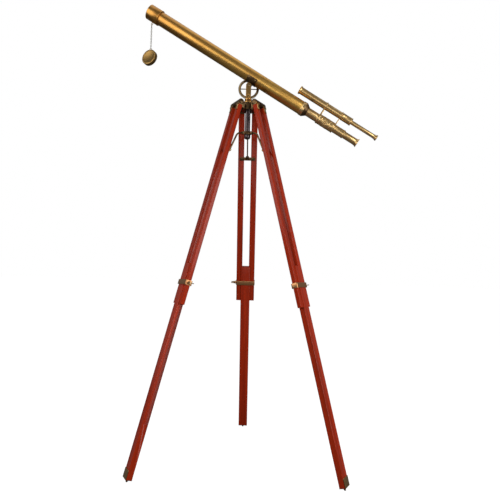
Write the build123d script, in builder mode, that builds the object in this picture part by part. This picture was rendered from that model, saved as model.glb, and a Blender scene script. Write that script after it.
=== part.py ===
from build123d import *
from math import cos, pi, radians, sin, tan
import os

# Brass refracting telescope with a finder scope, carried by a spoked and toothed tilt wheel and a
# turning post on a three-legged wooden stand.  Millimetres, +Z up, floor at Z = 0.  The origin lies
# on the floor under the middle of the object's box, so the stand's column axis is a little off it.

# ---- where the column axis stands ----
COLUMN_X = -44.0
COLUMN_Y = -94.25

# ---- stand: head, column and spreader ----
LEG_COUNT = 3
REAR_LEG_AZIMUTH = 88.5
HINGE_RADIUS = 47.5
HINGE_Z = 1356.0
SPLAY = 15.34
HINGE_PIN_R = 4.0
PIN_PLAY = 0.05
LUG_HALF = 14.4
LUG_R = 11.5
HEAD_HUB_R = 27.0
HEAD_BOTTOM_Z = 1338.0
HEAD_TOP_Z = 1367.0
HEAD_SLOPE = 6.0
COLUMN_R = 10.2
COLUMN_BORE_R = 8.0
COLUMN_TOP_Z = 1352.0
CAP_TOP_Z = 1242.5
CAP_BOTTOM_Z = 1226.0
CAP_R = 12.0
COLLAR_BOTTOM_Z = 1242.8
COLLAR_H = 12.0
COLLAR_R = 13.0
STAY_TOP = (19.0, 1248.8)
STAY_ELBOW = (43.0, 1244.0)
STAY_BEND_R = 20.0
STAY_HALF = 2.6
STAY_W = 6.0
STAY_EYE_R = 5.4
STAY_PIN_R = 2.0
STAY_SLOT_PLAY = 2.0

# ---- legs, measured down the leg from the hinge ----
RAIL_W = 24.0
RAIL_T = 15.5
RAIL_INNER = 14.25
RAIL_START = 13.0
RAIL_END = 793.0
LOWER_W = 38.5
LOWER_T = 21.0
LOWER_START = 643.0
LOWER_END = 1394.5
RAIL_ROUND = 3.0
GROOVE_DEPTH = 5.2
GROOVE_W = 15.9
GROOVE_END = 1212.0
CLAMP_AT = 714.0
CLAMP_H = 18.0
CLAMP_WALL = 1.8
CLAMP_SCREW_R = 3.0
WING_HUB_R = 5.4
WING_HUB_LENGTH = 10.0
WING_T = 2.8
WING_OUTLINE = [(2.4, 1.0), (2.4, 4.0), (9.8, 10.6), (16.0, 11.4), (17.0, 8.6), (13.0, 5.6), (9.0, 1.0)]
STAY_BRACKET_AT = 190.0
STAY_PIVOT_AT = 183.0
STAY_PIVOT_IN = 22.0
SHOE_PLATE = 30.0
SHOE_WALL = 1.5
FOOT_TIP_R = 4.2
STRAP_T = 2.5
STRAP_END = 34.0
KNUCKLE_R = 11.5
KNUCKLE_ROUND = 4.0
SCREW_DOWN = (19.0, 28.0)
SCREW_SHANK_R = 1.7

# ---- turning post and tilt gear ----
PIVOT_Z = 1436.5
POST_HALF = 10.1
POST_BASE_R = 18.8
POST_BASE_Z = 1367.4
FORK_HALF_GAP = 4.65
AXLE_R = 3.5
GEAR_MODULE = 1.5
WHEEL_TEETH = 53
PINION_TEETH = 9
WHEEL_FRONT_Y = 28.0
WHEEL_FACE = 7.0
WHEEL_RIM_IN_R = 31.2
PINION_SHAFT_R = 3.0
KNOB_R = 9.2

# ---- telescope, measured back from the front of the dew cap ----
ELEVATION = 31.3
PIVOT_AT = 489.0
PIVOT_BELOW = 39.0
SADDLE_LIP_BELOW = 8.5
SADDLE_SCREW_ANGLES = (-58, 58)
TUBE_R = 26.25
TUBE_WALL = 1.5
TUBE_START = 18.0
TUBE_END = 719.5
DEW_CAP_R = 29.2
DEW_CAP_LENGTH = 51.5
CAP_SEAT_R = 29.0
CAP_SEAT_END = 16.0
NECK_R = 16.75
FOCUSER_R = 19.5
FOCUSER_START = 780.8
SEAT_R = 17.0
SLEEVE_R = 15.8
SLEEVE_END = 903.8
DRAW_R = 13.5
DRAW_END = 954.1
EYECUP_R = 17.6
SCOPE_LENGTH = 965.5
FINDER_ABOVE = 57.4
FINDER_R = 13.7
FINDER_START = 664.2
FINDER_COLLAR_R = 14.9
FINDER_TUBE_END = 902.9
FINDER_DRAW_R = 8.1
FINDER_DRAW_END = 1003.3
FINDER_EYECUP_R = 11.4
FINDER_LENGTH_END = 1019.0
BRACKETS = {"front": (782.7, 788.5), "rear": (853.3, 857.2)}
FIT_GAP = 0.02

# ---- chain and lens cap ----
EYELET_AT = 35.0
EYE_RING_R = 3.4
EYE_WIRE_R = 0.9
LINK_COUNT = 14
LINK_PITCH = 7.0
LINK_HALF_LENGTH = 4.45
LINK_HALF_WIDTH = 2.25
LINK_WIRE_R = 0.85
LINK_PLAY = 1.85
LENS_CAP_R = 31.0
LENS_CAP_BORE_R = 29.5
LENS_CAP_DEPTH = 14.0
LENS_CAP_FACE = 2.4
CAP_DISH_R = 25.5
CAP_DISH_DEPTH = 1.2
LENS_CAP_OUT = Vector(-0.42, -0.90, 0.15).normalized()
EYE_STEM_R = 2.4
EYE_STEM_LENGTH = 2.2

# ---- worked out from the sizes above ----
COLUMN = Vector(COLUMN_X, COLUMN_Y, 0)
UP = Vector(0, 0, 1)
TOWARD_FRONT = Vector(0, -1, 0)
PIVOT = COLUMN + UP * PIVOT_Z
BACK_DIR = Vector(cos(radians(ELEVATION)), 0, -sin(radians(ELEVATION)))
OVER_DIR = Vector(sin(radians(ELEVATION)), 0, cos(radians(ELEVATION)))
SCOPE_FRONT = PIVOT - BACK_DIR * PIVOT_AT + OVER_DIR * PIVOT_BELOW
FINDER_FRONT = SCOPE_FRONT + OVER_DIR * FINDER_ABOVE
AZIMUTHS = [REAR_LEG_AZIMUTH + 360 / LEG_COUNT * i for i in range(LEG_COUNT)]
LEG_NAMES = ["rear", "left", "right"]
WHEEL_PITCH_R = GEAR_MODULE * WHEEL_TEETH / 2
PINION_PITCH_R = GEAR_MODULE * PINION_TEETH / 2
PINION_Z = PIVOT_Z - WHEEL_PITCH_R - PINION_PITCH_R


# ---- planes ----
def radial(azimuth):
    return Vector(cos(radians(azimuth)), sin(radians(azimuth)), 0)


def tangent(azimuth):
    return Vector(-sin(radians(azimuth)), cos(radians(azimuth)), 0)


def radial_plane(azimuth):
    """Upright plane through the column axis: X is the radius, Y is the height."""
    return Plane(origin=COLUMN, x_dir=radial(azimuth), z_dir=-tangent(azimuth))


def leg_plane(azimuth):
    """Plane of a leg's broad face at the hinge: X along the pin, Y up the leg, Z outwards."""
    outward = radial(azimuth) * cos(radians(SPLAY)) + UP * sin(radians(SPLAY))
    hinge = COLUMN + radial(azimuth) * HINGE_RADIUS + UP * HINGE_Z
    return Plane(origin=hinge, x_dir=tangent(azimuth), z_dir=outward)


def axial_plane(front):
    """Upright plane along a scope: X runs back along it, Y is square above it."""
    return Plane(origin=front, x_dir=BACK_DIR, z_dir=TOWARD_FRONT)


def cross_plane(front, along):
    """Plane across a scope: X is square above it, Z runs back along it."""
    return Plane(origin=front + BACK_DIR * along, x_dir=OVER_DIR, z_dir=BACK_DIR)


def level_plane(height):
    return Plane.XY.offset(height).move(Location(COLUMN))


def front_plane(y_from_column, height):
    """Upright plane facing back (its normal is +Y), centred on the column at a height."""
    origin = COLUMN + Vector(0, y_from_column, height)
    return Plane(origin=origin, x_dir=Vector(1, 0, 0), z_dir=Vector(0, 1, 0))


def save(piece, label):
    piece.part.label = label
    export_step(piece.part, f"parts/{label}.step")


def turn(front, points):
    """A solid of revolution about a scope's axis, from points of distance back and radius."""
    with BuildPart() as piece:
        with BuildSketch(axial_plane(front)):
            with BuildLine():
                Polyline(*points, close=True)
            make_face()
        revolve(axis=Axis(front, BACK_DIR))
    return piece


# ---- stand: head and column ----
def make_head_casting():
    with BuildPart() as head:
        with BuildSketch(level_plane(HEAD_BOTTOM_Z)):
            Circle(HEAD_HUB_R)
        extrude(amount=HEAD_TOP_Z - HEAD_BOTTOM_Z)
        chamfer(head.faces().sort_by(Axis.Z)[-1].edges(), length=HEAD_SLOPE)
        for azimuth in AZIMUTHS:
            with BuildSketch(radial_plane(azimuth)):
                with BuildLine():
                    Polyline(
                        (0, HEAD_BOTTOM_Z + 2),
                        (HINGE_RADIUS, HINGE_Z - LUG_R),
                        (HINGE_RADIUS, HINGE_Z + LUG_R - 4),
                        (0, HEAD_TOP_Z - 4),
                        close=True,
                    )
                make_face()
                with Locations((HINGE_RADIUS, HINGE_Z)):
                    Circle(LUG_R)
            extrude(amount=LUG_HALF, both=True)
        for azimuth in AZIMUTHS:
            with BuildSketch(radial_plane(azimuth)):
                with Locations((HINGE_RADIUS, HINGE_Z)):
                    Circle(HINGE_PIN_R + FIT_GAP)
            extrude(amount=LUG_HALF + 1, both=True, mode=Mode.SUBTRACT)
        with BuildSketch(level_plane(HEAD_BOTTOM_Z - 1)):
            Circle(COLUMN_R + FIT_GAP)
        extrude(amount=COLUMN_TOP_Z - HEAD_BOTTOM_Z + 1, mode=Mode.SUBTRACT)
        with BuildSketch(level_plane(COLUMN_TOP_Z)):
            Circle(COLUMN_BORE_R)
        extrude(amount=HEAD_TOP_Z - COLUMN_TOP_Z + 1, mode=Mode.SUBTRACT)
    save(head, "head_casting")


def make_centre_column():
    with BuildPart() as column:
        with BuildSketch(level_plane(CAP_TOP_Z)):
            Circle(COLUMN_R)
            Circle(COLUMN_BORE_R, mode=Mode.SUBTRACT)
        extrude(amount=COLUMN_TOP_Z - CAP_TOP_Z)
    save(column, "centre_column")


def make_column_cap():
    with BuildPart() as cap:
        with BuildSketch(level_plane(CAP_BOTTOM_Z)):
            Circle(CAP_R)
        extrude(amount=CAP_TOP_Z - CAP_BOTTOM_Z)
        fillet(cap.faces().sort_by(Axis.Z)[0].edges(), radius=5)
        chamfer(cap.faces().sort_by(Axis.Z)[-1].edges(), length=1)
        with BuildSketch(level_plane(CAP_TOP_Z)):
            Circle(COLUMN_BORE_R - FIT_GAP)
        extrude(amount=14)
    save(cap, "column_cap")


def make_hinge_pins():
    half = RAIL_INNER + RAIL_W - 1
    with BuildPart() as pins:
        for azimuth in AZIMUTHS:
            with BuildSketch(radial_plane(azimuth)):
                with Locations((HINGE_RADIUS, HINGE_Z)):
                    Circle(HINGE_PIN_R)
            extrude(amount=half, both=True)
            for side in (-1, 1):
                with BuildSketch(radial_plane(azimuth).offset(side * (half - 1))):
                    with Locations((HINGE_RADIUS, HINGE_Z)):
                        Circle(HINGE_PIN_R + 2.6)
                extrude(amount=side * 1.8)
    save(pins, "hinge_pins")


def make_spreader_collar():
    with BuildPart() as collar:
        with BuildSketch(level_plane(COLLAR_BOTTOM_Z)):
            Circle(COLLAR_R)
            Circle(COLUMN_R + PIN_PLAY, mode=Mode.SUBTRACT)
        extrude(amount=COLLAR_H)
        chamfer(collar.faces().sort_by(Axis.Z)[-1].edges().sort_by(SortBy.LENGTH)[-1], length=1.2)
        for azimuth in AZIMUTHS:
            for side in (-1, 1):
                ear = radial_plane(azimuth).offset(side * (STAY_HALF + 0.3))
                with BuildSketch(ear):
                    with Locations(STAY_TOP):
                        Circle(STAY_EYE_R)
                    with Locations(((COLUMN_R + STAY_TOP[0]) / 2 + 0.9, STAY_TOP[1])):
                        Rectangle(STAY_TOP[0] - COLUMN_R - 1.8, 2 * STAY_EYE_R)
                    with Locations(STAY_TOP):
                        Circle(STAY_PIN_R + FIT_GAP, mode=Mode.SUBTRACT)
                extrude(amount=side * 2.6)
    save(collar, "spreader_collar")


def make_collar_pins():
    with BuildPart() as pins:
        for azimuth in AZIMUTHS:
            with BuildSketch(radial_plane(azimuth)):
                with Locations(STAY_TOP):
                    Circle(STAY_PIN_R)
            extrude(amount=STAY_HALF + 3.7, both=True)
    save(pins, "collar_pins")


# ---- stand: one leg ----
def stay_foot():
    """The stay's lower pivot in the radial plane: radius and height."""
    s = radians(SPLAY)
    radius = HINGE_RADIUS + STAY_PIVOT_AT * sin(s) - STAY_PIVOT_IN * cos(s)
    height = HINGE_Z - STAY_PIVOT_AT * cos(s) - STAY_PIVOT_IN * sin(s)
    return (radius, height)


def make_stay(azimuth, name):
    with BuildPart() as stay:
        with BuildSketch(radial_plane(azimuth)):
            with BuildLine() as middle:
                FilletPolyline(STAY_TOP, STAY_ELBOW, stay_foot(), radius=STAY_BEND_R)
            trace(middle.line, line_width=STAY_W)
            with Locations(STAY_TOP, stay_foot()):
                Circle(STAY_EYE_R)
            with Locations(STAY_TOP):
                Circle(STAY_PIN_R + PIN_PLAY, mode=Mode.SUBTRACT)
            with Locations(stay_foot()):
                Circle(STAY_PIN_R + STAY_SLOT_PLAY, mode=Mode.SUBTRACT)
        extrude(amount=STAY_HALF, both=True)
    save(stay, f"stay_{name}")


def strap_screw_spots():
    """Screw centres on the outer straps, across and up the leg."""
    middle = RAIL_INNER + RAIL_W / 2
    return [(side * middle, -down) for side in (-1, 1) for down in SCREW_DOWN]


def make_leg_rails(azimuth, name):
    leg = leg_plane(azimuth)
    with BuildPart() as rails:
        with BuildSketch(leg.offset(-RAIL_T / 2)):
            for side in (-1, 1):
                with Locations((side * (RAIL_INNER + RAIL_W / 2), -(RAIL_START + RAIL_END) / 2)):
                    Rectangle(RAIL_W, RAIL_END - RAIL_START)
        extrude(amount=RAIL_T)
        long_edges = [e for e in rails.edges() if e.length > RAIL_END / 2]
        fillet(long_edges, radius=RAIL_ROUND)
        with BuildSketch(leg.offset(RAIL_T / 2)):
            with Locations(*strap_screw_spots()):
                Circle(SCREW_SHANK_R + FIT_GAP)
        extrude(amount=-8, mode=Mode.SUBTRACT)
    save(rails, f"leg_rails_{name}")


def make_hinge_fittings(azimuth, name):
    leg = leg_plane(azimuth)
    outer_face = RAIL_T / 2
    inner_end = LUG_HALF + 0.4
    outer_end = RAIL_INNER + RAIL_W
    middle = (inner_end + outer_end) / 2
    with BuildPart() as fittings:
        for side in (-1, 1):
            with BuildSketch(Plane(leg.location * Location((side * inner_end, 0, 0), (0, 90, 0)))):
                Circle(KNUCKLE_R)
            extrude(amount=side * (outer_end - inner_end))
        ends = fittings.edges().filter_by(GeomType.CIRCLE)
        fillet([e for e in ends if abs((e.center() - leg.origin).dot(leg.x_dir)) > middle], radius=KNUCKLE_ROUND)
        for side in (-1, 1):
            with BuildSketch(leg.offset(-outer_face)):
                with Locations((side * middle, -(RAIL_START + 4) / 2)):
                    Rectangle(outer_end - inner_end, RAIL_START - 4)
            extrude(amount=RAIL_T + STRAP_T)
            with BuildSketch(leg.offset(outer_face)):
                with Locations((side * (RAIL_INNER + RAIL_W / 2), -(RAIL_START - 4 + STRAP_END) / 2)):
                    RectangleRounded(12, STRAP_END - RAIL_START + 4, 1.5)
            extrude(amount=STRAP_T)
            with BuildSketch(Plane(leg.location * Location((side * LUG_HALF, 0, 0), (0, 90, 0)))):
                Circle(HINGE_PIN_R + PIN_PLAY)
            extrude(amount=side * (RAIL_W + 4), mode=Mode.SUBTRACT)
        with BuildSketch(leg.offset(outer_face)):
            with Locations(*strap_screw_spots()):
                Circle(SCREW_SHANK_R + FIT_GAP)
        extrude(amount=STRAP_T, mode=Mode.SUBTRACT)
        for side in (-1, 1):
            with BuildSketch(Plane(leg.location * Location((side * (outer_end - 2), 0, 0), (0, 90, 0)))):
                Circle(HINGE_PIN_R + 2.7)
            extrude(amount=side * 4, mode=Mode.SUBTRACT)
    save(fittings, f"hinge_fittings_{name}")


def make_stay_bracket(azimuth, name):
    leg = leg_plane(azimuth)
    plate_t = 2.5
    plate_z = -RAIL_T / 2
    with BuildPart() as bracket:
        with BuildSketch(leg.offset(plate_z)):
            with Locations((0, -STAY_BRACKET_AT)):
                RectangleRounded(63, 13, 2)
        extrude(amount=-plate_t)
        for side in (-1, 1):
            ear = Plane(leg.location * Location((side * (STAY_HALF + 0.4), 0, 0), (0, 90, 0)))
            with BuildSketch(ear):
                with BuildLine():
                    Polyline(
                        (-plate_z + plate_t - 0.5, -STAY_BRACKET_AT - 6.5),
                        (-plate_z + plate_t - 0.5, -STAY_BRACKET_AT + 6.5),
                        (STAY_PIVOT_IN, -STAY_PIVOT_AT + 5.0),
                        (STAY_PIVOT_IN, -STAY_PIVOT_AT - 5.0),
                        close=True,
                    )
                make_face()
                with Locations((STAY_PIVOT_IN, -STAY_PIVOT_AT)):
                    Circle(5.0)
                with Locations((STAY_PIVOT_IN, -STAY_PIVOT_AT)):
                    Circle(STAY_PIN_R + FIT_GAP, mode=Mode.SUBTRACT)
            extrude(amount=side * 2.8)
    save(bracket, f"stay_bracket_{name}")


def make_leg_fasteners(azimuth, name):
    leg = leg_plane(azimuth)
    strap_top = RAIL_T / 2 + STRAP_T
    with BuildPart() as fasteners:
        with BuildSketch(leg.offset(strap_top)):
            with Locations(*strap_screw_spots()):
                Circle(3.0)
        extrude(amount=1.2)
        with BuildSketch(leg.offset(strap_top)):
            with Locations(*strap_screw_spots()):
                Circle(SCREW_SHANK_R)
        extrude(amount=-10)
        pin = Plane(leg.location * Location((-STAY_HALF - 4.2, 0, 0), (0, 90, 0)))
        with BuildSketch(pin):
            with Locations((STAY_PIVOT_IN, -STAY_PIVOT_AT)):
                Circle(STAY_PIN_R)
        extrude(amount=2 * (STAY_HALF + 4.2))
    save(fasteners, f"leg_fasteners_{name}")


def make_clamp_band(azimuth, name):
    leg = leg_plane(azimuth)
    half_w = RAIL_INNER + RAIL_W
    half_t = LOWER_T / 2 + 0.35
    across = Plane(leg.location * Location((0, -CLAMP_AT - CLAMP_H / 2, 0), (-90, 0, 0)))
    with BuildPart() as band:
        with BuildSketch(across):
            RectangleRounded(2 * (half_w + CLAMP_WALL), 2 * (half_t + CLAMP_WALL), 4.5)
            RectangleRounded(2 * half_w, 2 * half_t, 2.7, mode=Mode.SUBTRACT)
        extrude(amount=CLAMP_H)
        boss = Plane(leg.location * Location((half_w + CLAMP_WALL - 0.5, -CLAMP_AT, 0), (0, 90, 0)))
        with BuildSketch(boss):
            Circle(6.5)
        extrude(amount=4.5)
        with BuildSketch(boss):
            Circle(CLAMP_SCREW_R + PIN_PLAY)
        extrude(amount=20, both=True, mode=Mode.SUBTRACT)
    save(band, f"clamp_band_{name}")


def make_clamp_knob(azimuth, name):
    """Wing screw: X of its plane runs out along the screw."""
    leg = leg_plane(azimuth)
    half_w = RAIL_INNER + RAIL_W
    hub_at = half_w + CLAMP_WALL + 4.6
    screw_line = Plane(origin=leg.origin - leg.y_dir * CLAMP_AT, x_dir=leg.x_dir, z_dir=leg.z_dir)
    with BuildPart() as knob:
        with BuildSketch(screw_line):
            with BuildLine():
                Polyline(
                    (half_w + 0.4, 0),
                    (half_w + 0.4, CLAMP_SCREW_R),
                    (hub_at, CLAMP_SCREW_R),
                    (hub_at, WING_HUB_R),
                    (hub_at + WING_HUB_LENGTH, WING_HUB_R - 1.4),
                    (hub_at + WING_HUB_LENGTH, 0),
                    close=True,
                )
            make_face()
        revolve(axis=Axis(screw_line.origin, screw_line.x_dir))
        with BuildSketch(screw_line):
            for side in (-1, 1):
                Polygon(*[(hub_at + out, side * up) for out, up in WING_OUTLINE], align=None)
        extrude(amount=WING_T / 2, both=True)
    save(knob, f"clamp_knob_{name}")


def make_lower_leg(azimuth, name):
    leg = leg_plane(azimuth)
    with BuildPart() as lower:
        with BuildSketch(leg.offset(-LOWER_T / 2)):
            with Locations((0, -(LOWER_START + LOWER_END) / 2)):
                Rectangle(LOWER_W, LOWER_END - LOWER_START)
        extrude(amount=LOWER_T)
        long_edges = [e for e in lower.edges() if e.length > (LOWER_END - LOWER_START) / 2]
        fillet(long_edges, radius=1.6)
        with BuildSketch(leg.offset(-GROOVE_W / 2)):
            for side in (-1, 1):
                with Locations((side * LOWER_W / 2, -(LOWER_START + GROOVE_END) / 2)):
                    Rectangle(2 * GROOVE_DEPTH, GROOVE_END - LOWER_START + 2)
        extrude(amount=GROOVE_W, mode=Mode.SUBTRACT)
    save(lower, f"lower_leg_{name}")


def make_foot_shoe(azimuth, name):
    leg = leg_plane(azimuth)
    half_t = LOWER_T / 2
    floor_spot = leg.origin + radial(azimuth) * (HINGE_Z * tan(radians(SPLAY)))
    with BuildPart() as shoe:
        with BuildSketch(leg.offset(half_t)):
            with Locations((0, -LOWER_END + (SHOE_PLATE - SHOE_WALL) / 2)):
                RectangleRounded(LOWER_W, SHOE_PLATE + SHOE_WALL, 1.4)
        extrude(amount=SHOE_WALL)
        sole = Plane(leg.location * Location((0, -LOWER_END, 0), (90, 0, 0)))
        with BuildSketch(sole):
            with Locations((0, SHOE_WALL / 2)):
                Rectangle(LOWER_W, LOWER_T + SHOE_WALL)
        extrude(amount=SHOE_WALL)
        with BuildSketch(sole.offset(SHOE_WALL - 0.5)):
            Circle(FOOT_TIP_R)
        extrude(amount=24, taper=5)
        with BuildSketch(Plane.XY):
            with Locations((floor_spot.X, floor_spot.Y)):
                Circle(60)
        extrude(amount=-60, mode=Mode.SUBTRACT)
    save(shoe, f"foot_shoe_{name}")


# ---- turning post and tilt gear ----
def make_turning_post():
    post_top = PIVOT_Z
    shoulder_z = POST_BASE_Z + 17
    with BuildPart() as post:
        with BuildSketch(level_plane(shoulder_z - 4)):
            Rectangle(2 * POST_HALF, 2 * POST_HALF)
        extrude(amount=post_top - shoulder_z + 4)
        with BuildSketch(front_plane(-POST_HALF, PIVOT_Z)):
            Circle(POST_HALF)
        extrude(amount=2 * POST_HALF)
        with BuildSketch(radial_plane(0)):
            with BuildLine():
                Line((0, POST_BASE_Z), (POST_BASE_R, POST_BASE_Z))
                Line((POST_BASE_R, POST_BASE_Z), (POST_BASE_R, POST_BASE_Z + 3.5))
                Line((POST_BASE_R, POST_BASE_Z + 3.5), (POST_BASE_R - 1.5, POST_BASE_Z + 4.5))
                ThreePointArc(
                    (POST_BASE_R - 1.5, POST_BASE_Z + 4.5),
                    (14.4, POST_BASE_Z + 9.5),
                    (13.6, shoulder_z),
                )
                Line((13.6, shoulder_z), (0, shoulder_z + 5))
                Line((0, shoulder_z + 5), (0, POST_BASE_Z))
            make_face()
        revolve(axis=Axis(COLUMN, UP))
        with BuildSketch(level_plane(POST_BASE_Z)):
            Circle(COLUMN_BORE_R - PIN_PLAY)
        extrude(amount=-50)
        with BuildSketch(front_plane(-FORK_HALF_GAP, PIVOT_Z)):
            Rectangle(3 * POST_HALF, 26)
        extrude(amount=2 * FORK_HALF_GAP, mode=Mode.SUBTRACT)
        with BuildSketch(front_plane(-2 * POST_HALF, PIVOT_Z)):
            Circle(AXLE_R + PIN_PLAY)
        extrude(amount=4 * POST_HALF, mode=Mode.SUBTRACT)
        with BuildSketch(front_plane(-POST_HALF - 2.5, PINION_Z)):
            Circle(6.0)
        extrude(amount=2 * POST_HALF + 14)
        with BuildSketch(front_plane(-3 * POST_HALF, PINION_Z)):
            Circle(PINION_SHAFT_R + PIN_PLAY)
        extrude(amount=6 * POST_HALF, mode=Mode.SUBTRACT)
    save(post, "turning_post")


def tooth(pitch_r, count, tip_share):
    """A gear tooth standing out along X, as corners from the root circle to the tip."""
    root_r = pitch_r - 1.25 * GEAR_MODULE
    tip_r = pitch_r + 0.9 * GEAR_MODULE
    pitch_half = 0.43 * pi * pitch_r / count
    tip_half = pitch_half * tip_share
    root_half = pitch_half * 1.32
    return [
        (root_r - 0.6, -root_half),
        (pitch_r, -pitch_half),
        (tip_r, -tip_half),
        (tip_r, tip_half),
        (pitch_r, pitch_half),
        (root_r - 0.6, root_half),
    ]


def make_tilt_wheel():
    root_r = WHEEL_PITCH_R - 1.25 * GEAR_MODULE
    with BuildPart() as wheel:
        with BuildSketch(front_plane(WHEEL_FRONT_Y, PIVOT_Z)):
            Circle(root_r)
            Circle(WHEEL_RIM_IN_R, mode=Mode.SUBTRACT)
            with PolarLocations(0, WHEEL_TEETH, start_angle=90 + 180 / WHEEL_TEETH):
                Polygon(*tooth(WHEEL_PITCH_R, WHEEL_TEETH, 0.55), align=None)
        extrude(amount=WHEEL_FACE)
        with BuildSketch(front_plane(WHEEL_FRONT_Y + 2, PIVOT_Z)):
            Rectangle(2 * WHEEL_RIM_IN_R + 2, 3)
            Rectangle(3, 2 * WHEEL_RIM_IN_R + 2)
        extrude(amount=3)
        with BuildSketch(front_plane(POST_HALF + 1.2, PIVOT_Z)):
            Circle(7.5)
        extrude(amount=WHEEL_FRONT_Y + WHEEL_FACE - POST_HALF - 1.2)
        with BuildSketch(front_plane(0, PIVOT_Z)):
            Circle(AXLE_R + FIT_GAP)
        extrude(amount=60, mode=Mode.SUBTRACT)
    save(wheel, "tilt_wheel")


def make_tilt_pinion():
    with BuildPart() as pinion:
        with BuildSketch(front_plane(WHEEL_FRONT_Y - 1, PINION_Z)):
            Circle(PINION_PITCH_R - 1.25 * GEAR_MODULE)
            with PolarLocations(0, PINION_TEETH, start_angle=90 + 180 / PINION_TEETH):
                Polygon(*tooth(PINION_PITCH_R, PINION_TEETH, 0.45), align=None)
        extrude(amount=WHEEL_FACE + 2)
        with BuildSketch(front_plane(-POST_HALF - 13, PINION_Z)):
            Circle(PINION_SHAFT_R)
        extrude(amount=WHEEL_FRONT_Y + WHEEL_FACE + POST_HALF + 14)
    save(pinion, "tilt_pinion")


def make_tilt_knob():
    with BuildPart() as knob:
        with BuildSketch(front_plane(-POST_HALF - 15, PINION_Z)):
            Circle(KNOB_R)
            with PolarLocations(KNOB_R, 24):
                Circle(0.6)
            Circle(PINION_SHAFT_R + FIT_GAP, mode=Mode.SUBTRACT)
        extrude(amount=9)
        with BuildSketch(front_plane(-POST_HALF - 6.1, PINION_Z)):
            Circle(5.4)
            Circle(PINION_SHAFT_R + FIT_GAP, mode=Mode.SUBTRACT)
        extrude(amount=3.2)
    save(knob, "tilt_knob")


def make_tilt_axle():
    with BuildPart() as axle:
        with BuildSketch(front_plane(-POST_HALF - 2.6, PIVOT_Z)):
            Circle(AXLE_R)
        extrude(amount=POST_HALF + 2.6 + WHEEL_FRONT_Y + WHEEL_FACE + 7)
        with BuildSketch(front_plane(-POST_HALF - 2.6, PIVOT_Z)):
            Circle(5.6)
        extrude(amount=2.2)
        with BuildSketch(front_plane(-POST_HALF - 2.6, PIVOT_Z)):
            RegularPolygon(2.4, 6)
        extrude(amount=1.6, mode=Mode.SUBTRACT)
    save(axle, "tilt_axle")


def make_axle_nut():
    with BuildPart() as nut:
        with BuildSketch(front_plane(WHEEL_FRONT_Y + WHEEL_FACE, PIVOT_Z)):
            RegularPolygon(7.4, 6)
            Circle(AXLE_R + FIT_GAP, mode=Mode.SUBTRACT)
        extrude(amount=5.5)
    save(nut, "axle_nut")


# ---- telescope ----
def make_saddle():
    inner_r = TUBE_R + FIT_GAP
    outer_r = TUBE_R + 2.2
    length = 40.0
    start = PIVOT_AT - length / 2
    with BuildPart() as saddle:
        with BuildSketch(cross_plane(SCOPE_FRONT, start)):
            Circle(outer_r)
            Circle(inner_r, mode=Mode.SUBTRACT)
            with Locations((-SADDLE_LIP_BELOW, 0)):
                Rectangle(2 * outer_r, 3 * outer_r, align=(Align.MIN, Align.CENTER), mode=Mode.SUBTRACT)
        extrude(amount=length)
        with BuildSketch(axial_plane(SCOPE_FRONT)):
            with Locations((PIVOT_AT, -PIVOT_BELOW)):
                Circle(9.6)
            with Locations((PIVOT_AT, -PIVOT_BELOW)):
                Rectangle(19.2, PIVOT_BELOW - TUBE_R - 1, align=(Align.CENTER, Align.MIN))
        extrude(amount=4.5, both=True)
        with BuildSketch(axial_plane(SCOPE_FRONT)):
            with Locations((PIVOT_AT, -PIVOT_BELOW)):
                Circle(AXLE_R + FIT_GAP)
        extrude(amount=10, both=True, mode=Mode.SUBTRACT)
    save(saddle, "saddle")


def make_saddle_screws():
    with BuildPart() as screws:
        for along in (PIVOT_AT - 14, PIVOT_AT + 14):
            for angle in SADDLE_SCREW_ANGLES:
                lean = radians(180 + angle)
                out = OVER_DIR * cos(lean) + TOWARD_FRONT * sin(lean)
                seat = SCOPE_FRONT + BACK_DIR * along + out * (TUBE_R + 2.25)
                with BuildSketch(Plane(origin=seat, x_dir=BACK_DIR, z_dir=out)):
                    Circle(2.9)
                extrude(amount=1.4)
    save(screws, "saddle_screws")


def make_main_tube():
    inner_r = TUBE_R - TUBE_WALL
    points = [(TUBE_START, inner_r), (TUBE_START, TUBE_R), (TUBE_END, TUBE_R), (TUBE_END, inner_r)]
    save(turn(SCOPE_FRONT, points), "main_tube")


def make_dew_cap():
    seat = TUBE_R + FIT_GAP
    points = [
        (0, 27.4),
        (0, CAP_SEAT_R - 0.6),
        (0.8, CAP_SEAT_R),
        (CAP_SEAT_END, CAP_SEAT_R),
        (CAP_SEAT_END, DEW_CAP_R),
        (DEW_CAP_LENGTH - 3.6, DEW_CAP_R),
        (DEW_CAP_LENGTH - 3.0, DEW_CAP_R + 0.6),
        (DEW_CAP_LENGTH - 0.8, DEW_CAP_R + 0.6),
        (DEW_CAP_LENGTH, DEW_CAP_R - 0.4),
        (DEW_CAP_LENGTH, seat),
        (TUBE_START - 0.5, seat),
        (TUBE_START - 0.5, 25.2),
        (TUBE_START - 3, 25.2),
        (TUBE_START - 3, 27.4),
    ]
    save(turn(SCOPE_FRONT, points), "dew_cap")


def lens_surface(apex, sag, rim_r):
    """Three points of a spherical surface whose centre is on the axis, from its apex to its rim."""
    sphere_r = (rim_r**2 + sag**2) / (2 * abs(sag))
    half_sag = sphere_r - (sphere_r**2 - rim_r**2 / 4) ** 0.5
    return [(apex, 0), (apex + half_sag * (1 if sag > 0 else -1), rim_r / 2), (apex + sag, rim_r)]


def make_objective_lens():
    lens_r = TUBE_R - TUBE_WALL - 0.08
    front = lens_surface(21.5, 3.1, lens_r)
    back = lens_surface(29.5, -1.3, lens_r)
    with BuildPart() as lens:
        with BuildSketch(axial_plane(SCOPE_FRONT)):
            with BuildLine():
                ThreePointArc(*front)
                Line(front[-1], back[-1])
                ThreePointArc(*reversed(back))
                Line(back[0], front[0])
            make_face()
        revolve(axis=Axis(SCOPE_FRONT, BACK_DIR))
    save(lens, "objective_lens")


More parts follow.
